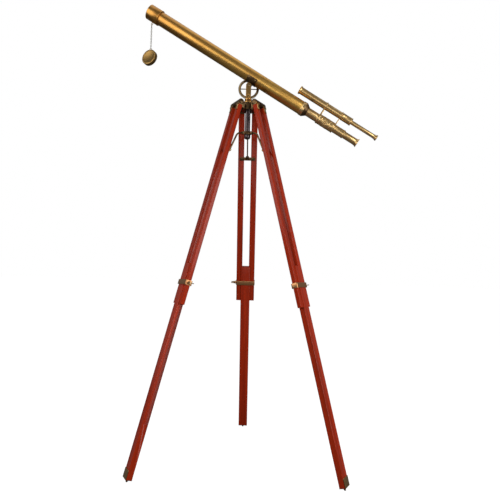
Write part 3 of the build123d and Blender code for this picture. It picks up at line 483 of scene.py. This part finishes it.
def screw_head(bm, matrix, radius, height, slot_half=0.32):
    """A slotted cheese head whose Z stands out of the seat."""
    known = set(bm.verts)
    bmesh.ops.create_cone(
        bm, cap_ends=True, segments=28, radius1=radius, radius2=radius * 0.9, depth=height,
        matrix=Matrix.Translation((0, 0, height / 2)),
    )
    mine = [v for v in bm.verts if v not in known]
    for across, along in (((0, slot_half, 0), (0, 1, 0)), ((0, -slot_half, 0), (0, 1, 0)),
                          ((radius * 0.72, 0, 0), (1, 0, 0)), ((-radius * 0.72, 0, 0), (1, 0, 0))):
        top = [f for f in bm.faces if all(v not in known and v.co.z > height - 0.01 for v in f.verts)]
        geometry = set(top)
        for face in top:
            geometry.update(face.edges)
            geometry.update(face.verts)
        bmesh.ops.bisect_plane(bm, geom=list(geometry), dist=0.0001, plane_co=across,
                               plane_no=along)
    slot = [
        f for f in bm.faces
        if all(v not in known and v.co.z > height - 0.01 for v in f.verts)
        and abs(f.calc_center_median().y) < slot_half * 0.5 and abs(f.calc_center_median().x) < radius * 0.5
    ]
    sunk = bmesh.ops.extrude_face_region(bm, geom=slot)["geom"]
    bmesh.ops.translate(bm, vec=(0, 0, -height * 0.6),
                        verts=[v for v in sunk if isinstance(v, bmesh.types.BMVert)])
    mine = [v for v in bm.verts if v not in known]
    bmesh.ops.transform(bm, matrix=matrix, verts=mine)


def ring_of_wire(bm, matrix, radius, wire, stretch=0.0, steps=28):
    """A ring of wire round Z, pulled apart along X into a link when stretch isn't 0."""
    known = set(bm.verts)
    circle = bmesh.ops.create_circle(
        bm, cap_ends=False, segments=12, radius=wire,
        matrix=Matrix.Translation((radius, 0, 0)) @ Matrix.Rotation(math.pi / 2, 4, "X"),
    )["verts"]
    edges = list({e for v in circle for e in v.link_edges})
    bmesh.ops.spin(
        bm, geom=circle + edges, cent=(0, 0, 0), axis=(0, 0, 1), dvec=(0, 0, 0), angle=math.tau,
        steps=steps, use_merge=True, use_duplicate=False,
    )
    mine = [v for v in bm.verts if v not in known]
    for side in (-1, 1):
        pulled = [v for v in mine if v.co.x * side > 0.0001]
        bmesh.ops.translate(bm, vec=(side * stretch, 0, 0), verts=pulled)
    bmesh.ops.transform(bm, matrix=matrix, verts=mine)


def show(bm, name, body, finishes, matrix, nodes=(), smooth=38.0):
    """Puts a shape in place as a piece that rides on a body and stands for its CAD nodes."""
    bmesh.ops.recalc_face_normals(bm, faces=bm.faces)
    bmesh.ops.transform(bm, matrix=matrix, verts=bm.verts)
    for face in bm.faces:
        face.smooth = True
    mesh = bpy.data.meshes.new(name)
    bm.to_mesh(mesh)
    bm.free()
    mesh.set_sharp_from_angle(angle=math.radians(smooth))
    for key in finishes if isinstance(finishes, (tuple, list)) else (finishes,):
        mesh.materials.append(finish_named(key))
    piece = bpy.data.objects.new(name, mesh)
    bpy.context.scene.collection.objects.link(piece)
    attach(piece, body)
    if nodes:
        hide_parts(*nodes)
    return piece


def dressed(node, body, finish, width=0.35, angle=35.0, segments=2, smooth=38.0, pick=None):
    """A CAD node's shape with its loose triangles joined and its sharp edges broken; pick numbers a face's finish."""
    bm = bmesh.new()
    bm.from_mesh(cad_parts[node].data)
    bmesh.ops.transform(bm, matrix=Matrix.Scale(1000, 4), verts=bm.verts)
    bmesh.ops.remove_doubles(bm, verts=bm.verts, dist=0.002)
    bmesh.ops.dissolve_limit(
        bm, angle_limit=math.radians(0.8), use_dissolve_boundaries=False,
        verts=bm.verts, edges=bm.edges, delimit=set(),
    )
    if width:
        soften(bm, width, angle, segments)
    if pick:
        for face in bm.faces:
            face.material_index = pick(face.calc_center_median(), face.normal)
    return show(bm, f"{node}_look", body, finish, Matrix.Scale(0.001, 4), (node,), smooth)


class PieceMaker:
    """What the operators share."""

    bl_options = {"REGISTER", "UNDO"}

    def execute(self, context):
        self.make()
        return {"FINISHED"}


# ---- the stand ----
class TELESCOPE_OT_wooden_legs(PieceMaker, bpy.types.Operator):
    """Rails and grooved lower legs in varnished mahogany"""

    bl_idname = "telescope.wooden_legs"
    bl_label = "Wooden legs"

    def make(self):
        for leg in LEGS:
            matrix = leg_frame(leg)
            bm = bmesh.new()
            for side in (-1, 1):
                inner, outer = sorted((side * 14.25, side * 38.25))
                block(bm, (inner, -793.0, -7.75), (outer, -13.0, 7.75))
            long_edges = [e for e in bm.edges if e.calc_length() > 500]
            soften(bm, sizes().rail_rounding, segments=5, edges=long_edges)
            soften(bm, 0.9, angle=60)
            show(bm, f"rails_{leg}", f"leg_{leg}", f"wood_{leg}", matrix,
                 (f"leg_rails_{leg}",))
            self.make_lower_leg(leg, matrix)

    def make_lower_leg(self, leg, matrix):
        half_w, half_t, top, end = 19.25, 10.5, -643.0, -1394.5
        groove_half, groove_depth, groove_end = 7.95, 5.2, -1212.0
        bm = bmesh.new()
        block(bm, (-half_w, end, -half_t), (half_w, top, half_t))
        cuts = [((0, groove_end, 0), (0, 1, 0))]
        cuts += [((0, 0, z), (0, 0, 1)) for z in (-groove_half, groove_half)]
        cuts += [((x, 0, 0), (1, 0, 0)) for x in (groove_depth - half_w, half_w - groove_depth)]
        for place, normal in cuts:
            bmesh.ops.bisect_plane(
                bm, geom=bm.verts[:] + bm.edges[:] + bm.faces[:], dist=0.0001, plane_co=place,
                plane_no=normal
            )
        for side in (-1, 1):
            wall = [
                f for f in bm.faces
                if abs(f.calc_center_median().x - side * half_w) < 0.01
                and abs(f.calc_center_median().z) < groove_half and f.calc_center_median().y > groove_end
            ]
            sunk = bmesh.ops.extrude_face_region(bm, geom=wall)["geom"]
            bmesh.ops.translate(
                bm, vec=(-side * groove_depth, 0, 0),
                verts=[v for v in sunk if isinstance(v, bmesh.types.BMVert)]
            )
        open_end = [
            f for f in bm.faces
            if abs(f.calc_center_median().y - top) < 0.01 and abs(f.calc_center_median().z) < groove_half
            and abs(f.calc_center_median().x) > half_w - groove_depth
        ]
        bmesh.ops.delete(bm, geom=open_end, context="FACES")
        bmesh.ops.remove_doubles(bm, verts=bm.verts, dist=0.001)
        corners = [
            e for e in bm.edges
            if all(abs(abs(v.co.x) - half_w) < 0.01 and abs(abs(v.co.z) - half_t) < 0.01 for v in e.verts)
        ]
        soften(bm, sizes().leg_rounding, segments=4, edges=corners)
        soften(bm, 0.6, angle=60)
        show(bm, f"lower_{leg}_wood", f"lower_{leg}", f"wood_{leg}", matrix,
             (f"lower_leg_{leg}",))


class TELESCOPE_OT_leg_hardware(PieceMaker, bpy.types.Operator):
    """Hinge straps, screws, stay brackets, clamp bands, wing screws and foot plates"""

    bl_idname = "telescope.leg_hardware"
    bl_label = "Leg hardware"

    def make(self):
        for leg in LEGS:
            matrix = leg_frame(leg)
            body = f"leg_{leg}"
            local = (Matrix.Scale(1000, 4) @ matrix).inverted()

            def strap(middle, normal):
                spot = local @ middle
                return 0 if spot.z > 7.9 and spot.y < -9.1 else 1

            def plate(middle, normal):
                spot = local @ middle
                return 0 if spot.z > 10.7 and spot.y > -1394.4 else 1

            dressed(
                f"hinge_fittings_{leg}", body, ("strap_brass", "bronze"), 0.45,
                pick=strap
            )
            dressed(f"stay_bracket_{leg}", body, "bronze", 0.3)
            dressed(f"clamp_band_{leg}", body, "band_brass", 0.3)
            dressed(
                f"foot_shoe_{leg}", f"lower_{leg}", ("strap_brass", "bronze"), 0.25,
                pick=plate
            )
            self.make_fasteners(leg, matrix)
            self.make_wing_screw(leg, matrix)

    def make_fasteners(self, leg, matrix):
        bm = bmesh.new()
        for number, (across, along) in enumerate([(x, y) for x in (-26.25, 26.25) for y in (-19.0,
                                                                                            -28.0)]):
            turn = Matrix.Rotation(0.7 + 1.9 * number, 4, "Z")
            screw_head(bm, Matrix.Translation((across, along, 10.25)) @ turn, 3.0, 1.3)
        known = set(bm.verts)
        bmesh.ops.create_cone(bm, cap_ends=True, segments=24, radius1=2.0, radius2=2.0, depth=13.6)
        pin = [v for v in bm.verts if v not in known]
        bmesh.ops.transform(
            bm, matrix=Matrix.Translation((0, -183.0, -22.0)) @ Matrix.Rotation(math.pi / 2, 4,
                                                                                "Y"), verts=pin
        )
        soften(bm, 0.18, angle=40)
        show(bm, f"leg_screws_{leg}", f"leg_{leg}", "strap_brass", matrix,
             (f"leg_fasteners_{leg}",))

    def make_wing_screw(self, leg, matrix):
        place = matrix @ Matrix.Translation((0, -714.0, 0)) @ Matrix.Rotation(math.pi / 2, 4, "Y")
        bm = bmesh.new()
        turned(bm, [(38.7, 0), (38.7, 3.0), (44.7, 3.0), (44.7, 5.2), (46.2, 5.6), (52.6, 4.4),
                    (54.6, 3.4), (54.6, 0)], 40)
        outline = [(47.0, 3.0), (54.4, 10.6), (60.6, 11.4), (61.6, 8.6), (57.6, 5.6), (53.6, 1.5)]
        for side in (-1, 1):
            known = set(bm.verts)
            corners = [bm.verts.new((side * radius, -1.4, along)) for along, radius in outline]
            face = bm.faces.new(corners)
            lifted = bmesh.ops.extrude_face_region(bm, geom=[face], use_keep_orig=True)["geom"]
            bmesh.ops.translate(bm, vec=(0, 2.8, 0),
                                verts=[v for v in lifted if isinstance(v, bmesh.types.BMVert)])
            mine = [f for f in bm.faces if not any(v in known for v in f.verts)]
            edges = list({e for f in mine for e in f.edges})
            bm.normal_update()
            bmesh.ops.recalc_face_normals(bm, faces=mine)
            soften(bm, 1.0, segments=3,
                   edges=[e for e in edges if abs(e.verts[0].co.y - e.verts[1].co.y) < 0.01])
        show(bm, f"wing_screw_{leg}", f"knob_{leg}", "wheel_bronze", place,
             (f"clamp_knob_{leg}",))


class TELESCOPE_OT_stand_head(PieceMaker, bpy.types.Operator):
    """Cast head with its pins, the centre column and the sliding spreader with its stays"""

    bl_idname = "telescope.stand_head"
    bl_label = "Stand head and spreader"

    def make(self):
        dressed("head_casting", "stand_head", "bronze", 0.9, 30.0, 3)
        dressed("hinge_pins", "stand_head", "bronze", 0.5)
        dressed("spreader_collar", "spreader", "bronze", 0.35)
        dressed("collar_pins", "spreader", "wheel_bronze", 0.3)
        for leg in LEGS:
            dressed(f"stay_{leg}", f"stay_{leg}", "bronze", 0.6)
        bm = bmesh.new()
        turned(bm, [(1242.5, 8.0), (1242.5, 10.2), (1352.0, 10.2), (1352.0, 8.0)])
        show(bm, "column_tube", "stand_head", "column_steel", column_frame(),
             ("centre_column",))
        bm = bmesh.new()
        turned(bm, [
            (1226.0, 0), (1226.0, 5.5), (1227.2, 8.6), (1229.6, 11.0), (1232.4, 12.0),
            (1241.6, 12.0),
            (1242.5, 11.0), (1242.5, 7.98), (1256.5, 7.98), (1256.5, 0),
        ])
        soften(bm, 0.25)
        show(bm, "column_end_cap", "stand_head", "column_steel", column_frame(),
             ("column_cap",))


class TELESCOPE_OT_tilt_gear(PieceMaker, bpy.types.Operator):
    """Turning post, toothed wheel, pinion, knob, axle and saddle"""

    bl_idname = "telescope.tilt_gear"
    bl_label = "Post and tilt gear"

    def make(self):
        s = sizes()
        dressed("turning_post", "post", "post_brass", 0.7, 30.0, 3)
        dressed("tilt_wheel", "telescope", "wheel_bronze", 0.22, 40.0)
        dressed("tilt_pinion", "pinion", "wheel_bronze", 0.15, 40.0)
        dressed("saddle", "telescope", "bronze", 0.5)
        dressed("axle_nut", "telescope", "strap_brass", 0.5)
        self.make_knob()
        self.make_axle(s)
        self.make_saddle_screws(s)

    def make_knob(self):
        low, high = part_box("tilt_knob")
        front = (low.y - COLUMN.y) * 1000
        bm = bmesh.new()
        steps = 72
        turned(bm, [
            (front, 3.02), (front, 6.6), (front + 0.9, 7.6), (front + 1.0, 8.9),
            (front + 8.0, 8.9),
            (front + 8.8, 8.2), (front + 9.0, 5.4), (front + 12.1, 5.4), (front + 12.1, 3.02),
        ], steps)
        for vert in bm.verts:
            radius = math.hypot(vert.co.x, vert.co.y)
            step = round(math.atan2(vert.co.y, vert.co.x) / math.tau * steps)
            if radius > 8.7 and step % 2 == 0:
                vert.co.x *= 9.55 / radius
                vert.co.y *= 9.55 / radius
        soften(bm, 0.2, 50.0)
        height = (low.z + high.z) / 2 * 1000
        show(bm, "tilt_knob_look", "pinion", "post_brass", gear_frame(height),
             ("tilt_knob",), 30.0)

    def make_axle(self, s):
        bm = bmesh.new()
        turned(bm, [
            (-12.7, 0), (-12.7, 4.6), (-11.9, 5.6), (-10.5, 5.6), (-10.5, 3.5), (42.0, 3.5),
            (42.0, 0),
        ], 48)
        soften(bm, 0.3)
        screw_head(bm, Matrix.Translation((0, 0, -11.4)) @ Matrix.Rotation(math.pi, 4, "X"), 3.4,
                   1.25, 0.5)
        show(bm, "axle_look", "telescope", "wheel_bronze",
             gear_frame(s.pivot_height), ("tilt_axle",))

    def make_saddle_screws(self, s):
        bm = bmesh.new()
        for along in (s.pivot_along - 14, s.pivot_along + 14):
            for angle in (122.0, 238.0):
                turn = math.radians(angle)
                out = Matrix.Rotation(turn, 4,
                                      "Z") @ Matrix.Translation((s.tube_radius + 2.25, 0, along))
                screw_head(bm, out @ Matrix.Rotation(math.pi / 2, 4, "Y"), 2.9, 1.4)
        soften(bm, 0.18, 40)
        show(bm, "saddle_screws_look", "telescope", "strap_brass", scope_frame(),
             ("saddle_screws",))


# ---- the telescope ----
class TELESCOPE_OT_main_tube(PieceMaker, bpy.types.Operator):
    """Main tube, dew cap, objective and its ring"""

    bl_idname = "telescope.main_tube"
    bl_label = "Main tube and dew cap"

    def make(self):
        s = sizes()
        matrix = scope_frame()
        r = s.tube_radius
        bm = bmesh.new()
        turned(bm, [(18.0, r - 1.5), (18.0, r), (719.5, r), (719.5, r - 1.5)], 128)
        soften(bm, 0.2)
        for face in bm.faces:
            middle = face.calc_center_median()
            if math.hypot(middle.x, middle.y) < r - 1.3:
                face.material_index = 1
        show(bm, "main_tube_look", "telescope", ("tube_brass", "black"), matrix,
             ("main_tube",))
        bm = bmesh.new()
        turned(bm, [
            (0, 27.4), (0, 28.4), (0.8, 29.0), (16.0, 29.0), (16.0, 29.2),
            (47.3, 29.2), (48.1, 28.8), (48.7, 29.8), (50.7, 29.8), (51.5, 28.8), (51.5, 26.27),
            (17.5, 26.27), (17.5, 25.2), (15.0, 25.2), (15.0, 27.4),
        ], 128)
        soften(bm, s.edge_break)
        show(bm, "dew_cap_look", "telescope", "tube_brass", matrix, ("dew_cap",))
        bm = bmesh.new()
        turned(bm, [(18.2, 23.2), (18.2, 24.73), (24.0, 24.73), (24.0, 23.2)])
        soften(bm, 0.3)
        show(bm, "lens_ring_look", "telescope", "black", matrix, ("lens_ring",))
        self.make_lens("objective_lens", [
            (21.5, 0), (21.9, 9.0), (23.1, 17.5), (24.6, 24.6), (28.2, 24.6), (29.1, 13.0),
            (29.5, 0),
        ], "telescope", matrix)

    def make_lens(self, node, outline, body, matrix):
        bm = bmesh.new()
        turned(bm, outline)
        show(bm, f"{node}_look", body, "glass", matrix, (node,), 60.0)


class TELESCOPE_OT_focuser(PieceMaker, bpy.types.Operator):
    """Tail flange, stepped focuser, knurled ring, sliding eyepiece and its cup"""

    bl_idname = "telescope.focuser"
    bl_label = "Focuser and eyepiece"

    def make(self):
        s = sizes()
        matrix = scope_frame()
        pieces = {
            "tail_flange": ("telescope", [
                (708.2, 26.27), (708.2, 27.1), (709.0, 27.8), (711.4, 27.8), (712.0, 27.3),
                (712.7, 27.3),
                (713.3, 27.8), (722.1, 27.8), (723.5, 27.0), (736.0, 18.0), (736.9, 17.35),
                (737.5, 16.75),
                (780.8, 16.75), (780.8, 14.6), (733.2, 14.6), (719.7, 24.0), (719.7, 26.27),
            ]),
            "focuser_body": ("telescope", [
                (780.8, 15.2), (780.8, 17.0), (788.5, 17.0), (788.5, 19.5), (790.7, 19.5),
                (791.3, 19.0),
                (792.3, 19.0), (792.9, 19.5), (801.8, 19.5), (801.8, 17.6), (832.4, 17.6),
                (832.4, 19.5),
                (835.6, 19.5), (835.6, 19.0), (836.7, 19.0), (836.7, 19.5), (853.3, 19.5),
                (853.3, 17.0),
                (857.2, 17.0), (857.2, 15.8), (860.9, 15.8), (861.4, 16.2), (862.9, 16.2),
                (863.4, 15.8),
                (898.4, 15.8), (899.1, 16.7), (903.0, 16.7), (903.8, 16.0), (903.8, 13.55),
                (828.8, 13.55),
                (828.8, 15.2),
            ]),
            "draw_tube": ("eyepiece", [(836.5, 12.3), (836.5, 13.5), (954.1, 13.5),
                                       (954.1, 12.3)]),
            "eyecup": ("eyepiece", [
                (954.2, 11.2), (954.2, 13.9), (956.1, 14.1), (956.7, 13.8), (960.0, 14.6),
                (962.3, 16.1),
                (963.7, 17.6), (964.7, 17.6), (965.2, 17.0), (965.2, 15.0), (963.1, 12.6),
                (961.0, 8.4),
                (959.6, 5.5), (957.4, 5.5), (957.4, 11.2),
            ]),
        }
        for node, (body, outline) in pieces.items():
            bm = bmesh.new()
            turned(bm, outline)
            soften(bm, s.edge_break)
            for face in bm.faces:
                # The tail flange's cone takes the dark bronze finish: painted shade for the dark line at the flange's
                # end.
                if node == "tail_flange" and 722.2 < face.calc_center_median().z < 737.4:
                    face.material_index = 1
            show(bm, f"{node}_look", body, ("turned_brass", "bronze"), matrix,
                 (node,))
        bm = bmesh.new()
        turned(bm, [(954.3, 0), (954.6, 6.0), (955.0, 11.1), (956.5, 11.1), (957.0, 6.0),
                    (957.2, 0)], 48)
        show(bm, "eye_lens_look", "eyepiece", "glass", matrix, ("eye_lens",), 60.0)
        self.make_knurled_ring(matrix)

    def make_knurled_ring(self, matrix):
        steps = 120
        bm = bmesh.new()
        turned(bm, [
            (801.9, 17.62), (801.9, 19.0), (802.7, 19.8), (804.8, 19.8), (805.4, 19.5),
            (815.7, 19.5),
            (816.3, 19.0), (817.8, 19.0), (818.4, 19.5), (828.8, 19.5), (829.3, 19.8),
            (831.5, 19.8),
            (832.3, 19.0), (832.3, 17.62),
        ], steps)
        for vert in bm.verts:
            radius = math.hypot(vert.co.x, vert.co.y)
            step = round(math.atan2(vert.co.y, vert.co.x) / math.tau * steps)
            if 19.4 < radius < 19.6 and step % 2 == 0:
                vert.co.x *= 19.95 / radius
                vert.co.y *= 19.95 / radius
        show(bm, "knurled_ring_look", "telescope", "turned_brass", matrix,
             ("knurled_ring",), 30.0)


class TELESCOPE_OT_finder_scope(PieceMaker, bpy.types.Operator):
    """Finder tube, its two brackets, lens and sliding eyepiece"""

    bl_idname = "telescope.finder_scope"
    bl_label = "Finder scope"

    def make(self):
        s = sizes()
        matrix = scope_frame(s.finder_above)
        for name in ("front", "rear"):
            dressed(f"finder_bracket_{name}", "telescope", "turned_brass", 0.4,
                    40.0)
        pieces = {
            "finder_tube": ("telescope", [
                (664.2, 14.4), (664.2, 15.6), (664.9, 16.3), (668.1, 16.3), (669.0, 15.6),
                (670.8, 14.3),
                (673.2, 13.7), (859.0, 13.7), (859.6, 14.9), (864.2, 14.9), (865.0, 14.5),
                (896.4, 14.5),
                (897.0, 14.9), (902.1, 14.9), (902.9, 14.1), (902.9, 8.15), (869.7, 8.15),
                (869.7, 12.4),
                (673.9, 12.4), (673.9, 11.2), (672.5, 11.2), (672.5, 12.4), (667.1, 12.4),
            ]),
            "finder_draw_tube": ("finder_eyepiece",
                                 [(861.9, 7.1), (861.9, 8.1), (1003.3, 8.1), (1003.3, 7.1)]),
            "finder_eyecup": ("finder_eyepiece", [
                (1003.3, 3.6), (1003.3, 8.6), (1005.8, 8.8), (1006.4, 8.4), (1009.1, 8.9),
                (1012.0, 10.0),
                (1015.3, 11.4), (1017.8, 11.4), (1018.6, 10.7), (1018.6, 9.4), (1015.0, 7.8),
                (1010.7, 4.6),
                (1009.1, 3.6),
            ]),
        }
        for node, (body, outline) in pieces.items():
            bm = bmesh.new()
            turned(bm, outline)
            soften(bm, s.edge_break)
            show(bm, f"{node}_look", body, "turned_brass", matrix, (node,))
        bm = bmesh.new()
        turned(bm, [(668.1, 0), (668.5, 6.0), (669.4, 12.32), (672.2, 12.32), (672.3, 6.0),
                    (672.4, 0)], 48)
        show(bm, "finder_lens_look", "telescope", "glass", matrix, ("finder_lens",),
             60.0)


class TELESCOPE_OT_chain_and_cap(PieceMaker, bpy.types.Operator):
    """Eyelet, chain of links and the lens cap that hangs on it"""

    bl_idname = "telescope.chain_and_cap"
    bl_label = "Chain and lens cap"

    def make(self):
        matrix = scope_frame()
        bm = bmesh.new()
        stem = Matrix.Translation((-29.22, 0, 35.0)) @ Matrix.Rotation(-math.pi / 2, 4, "Y")
        bmesh.ops.create_cone(
            bm, cap_ends=True, segments=32, radius1=2.4, radius2=2.0, depth=2.3,
            matrix=stem @ Matrix.Translation((0, 0, 1.15)),
        )
        soften(bm, 0.3)
        across = Matrix.Translation((-34.84, 0, 35.0)) @ Matrix.Rotation(math.pi / 2, 4, "X")
        ring_of_wire(bm, across, 3.4, 0.88)
        show(bm, "eyelet_look", "telescope", "cap_brass", matrix, ("chain_eyelet",))
        low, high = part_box("chain")
        top = Vector(((low.x + high.x) / 2, (low.y + high.y) / 2, high.z)) * 1000
        bm = bmesh.new()
        for number in range(14):
            turn = Matrix.Rotation(math.pi / 2, 4, "X") @ Matrix.Rotation(math.pi / 2, 4, "Z")
            if number % 2:
                turn = Matrix.Rotation(math.pi / 2, 4, "Z") @ turn
            at = top - UP * (4.45 + 0.85 + 7.0 * number)
            ring_of_wire(bm, Matrix.Translation(at) @ turn, 2.25, 0.83, 2.2, 20)
        show(bm, "chain_look", "chain", "chain_steel", Matrix.Scale(0.001, 4),
             ("chain",))
        dressed("lens_cap", "cap", "cap_brass", 0.3)


# ---- the stage ----
class TELESCOPE_OT_stage(PieceMaker, bpy.types.Operator):
    """Pale floor, soft lights and the camera"""

    bl_idname = "telescope.stage"
    bl_label = "Stage"

    def make(self):
        scene = bpy.context.scene
        stage = scene.telescope_stage
        scene.view_settings.view_transform = "Standard"
        self.make_floor(stage)
        self.make_sky(scene)
        self.make_lights(stage)
        self.make_camera(scene, stage)

    def make_floor(self, stage):
        bm = bmesh.new()
        bmesh.ops.create_circle(bm, cap_ends=True, segments=96, radius=40.0)
        mesh = bpy.data.meshes.new("studio_floor")
        bm.to_mesh(mesh)
        bm.free()
        finish, tree, shader = start_finish("pale_floor")
        tone = stage.floor_tone
        cloud = noise(tree, own_place(tree), 3.0)
        base = blended(tree, cloud, (tone, tone, tone), (tone * 0.985, tone * 0.985, tone * 0.98))
        tree.links.new(base, shader.inputs["Base Color"])
        shader.inputs["Roughness"].default_value = 0.9
        shader.inputs["Specular IOR Level"].default_value = 0.0
        shader.inputs["Emission Color"].default_value = (1, 1, 1, 1)
        ray = add_node(tree, "ShaderNodeLightPath").outputs["Is Camera Ray"]
        tree.links.new(fitted(tree, ray, 0.0, stage.floor_glow),
                       shader.inputs["Emission Strength"])
        mesh.materials.append(finish)
        floor = bpy.data.objects.new("studio_floor", mesh)
        bpy.context.scene.collection.objects.link(floor)

    def make_sky(self, scene):
        world = bpy.data.worlds.new("studio_surround")
        world.use_nodes = True
        scene.world = world
        tree = world.node_tree
        tree.nodes.clear()
        seen = add_node(tree, "ShaderNodeBackground", {"Color": (1, 1, 1, 1), "Strength": 1.0})
        lit = add_node(tree, "ShaderNodeBackground",
                       {"Color": (1.0, 0.99, 0.97, 1), "Strength": 0.2})
        ray = add_node(tree, "ShaderNodeLightPath").outputs["Is Camera Ray"]
        mix = add_node(
            tree, "ShaderNodeMixShader",
            {0: ray, 1: lit.outputs["Background"], 2: seen.outputs["Background"]}
        )
        add_node(tree, "ShaderNodeOutputWorld", {"Surface": mix.outputs["Shader"]})

    def make_lights(self, stage):
        power = stage.key_power
        lean = -math.radians(sizes().elevation)
        lamps = {
            "strip_softbox": ((-0.75, -2.6, 1.25), (-0.04, -0.1, 1.4), (3.0, 1.0), lean,
                              power * 0.22, (1.0, 0.96, 0.90)),
            "key_softbox": ((2.2, -2.1, 1.0), (-0.04, -0.1, 0.8), (2.2, 2.2), 0.0, power,
                            (1.0, 0.98, 0.95)),
            "fill_softbox": ((-2.2, -1.7, 1.9), (-0.04, -0.1, 0.8), (1.8, 2.2), 0.0, power * 0.5,
                             (1.0, 0.98, 0.95)),
            "top_softbox": ((0.0, 0.3, 3.6), (0.0, 0.0, 0.8), (2.4, 2.4), 0.0, power * 0.25,
                            (1.0, 1.0, 1.0)),
        }
        for name, (at, to, size, roll, watts, colour) in lamps.items():
            light = bpy.data.lights.new(name, "AREA")
            light.shape = "RECTANGLE"
            light.size, light.size_y = size
            light.energy = watts
            light.color = colour
            lamp = bpy.data.objects.new(name, light)
            aim = (Vector(to) - Vector(at)).to_track_quat("-Z", "Y").to_matrix().to_4x4()
            lamp.matrix_world = Matrix.Translation(at) @ aim @ Matrix.Rotation(roll, 4, "Z")
            bpy.context.scene.collection.objects.link(lamp)

    def make_camera(self, scene, stage):
        data = bpy.data.cameras.new("studio_camera")
        data.sensor_width = 36.0
        data.lens = stage.camera_lens
        data.clip_start, data.clip_end = 0.05, 200.0
        camera = bpy.data.objects.new("studio_camera", data)
        scene.collection.objects.link(camera)
        turn = Matrix.Rotation(math.pi / 2 + stage.camera_pitch, 4,
                               "X") @ Matrix.Rotation(stage.camera_roll, 4, "Z")
        camera.matrix_world = Matrix.Translation(stage.camera_at) @ turn
        scene.camera = camera


MAKERS = (
    TELESCOPE_OT_wooden_legs,
    TELESCOPE_OT_leg_hardware,
    TELESCOPE_OT_stand_head,
    TELESCOPE_OT_tilt_gear,
    TELESCOPE_OT_main_tube,
    TELESCOPE_OT_focuser,
    TELESCOPE_OT_finder_scope,
    TELESCOPE_OT_chain_and_cap,
    TELESCOPE_OT_stage,
)


class TELESCOPE_PT_workbench(bpy.types.Panel):
    """Lists the makers and the sizes and colours that they use"""

    bl_idname = "TELESCOPE_PT_workbench"
    bl_label = "Telescope on a stand"
    bl_space_type = "VIEW_3D"
    bl_region_type = "UI"
    bl_category = "Telescope"

    def draw(self, context):
        for maker in MAKERS:
            self.layout.operator(maker.bl_idname)
        for attribute, group in SETTING_GROUPS.items():
            box = self.layout.box()
            box.label(text=group.__name__)
            for key in group.__annotations__:
                box.prop(getattr(context.scene, attribute), key)


CLASSES = (*SETTING_GROUPS.values(), *MAKERS, TELESCOPE_PT_workbench)


def register():
    for cls in CLASSES:
        bpy.utils.register_class(cls)
    for attribute, group in SETTING_GROUPS.items():
        setattr(bpy.types.Scene, attribute, PointerProperty(type=group))


def unregister():
    for attribute in SETTING_GROUPS:
        delattr(bpy.types.Scene, attribute)
    for cls in reversed(CLASSES):
        bpy.utils.unregister_class(cls)


def main():
    register()
    for maker in MAKERS:
        getattr(bpy.ops.telescope, maker.bl_idname.split(".")[1])()


if __name__ == "__main__":
    main()
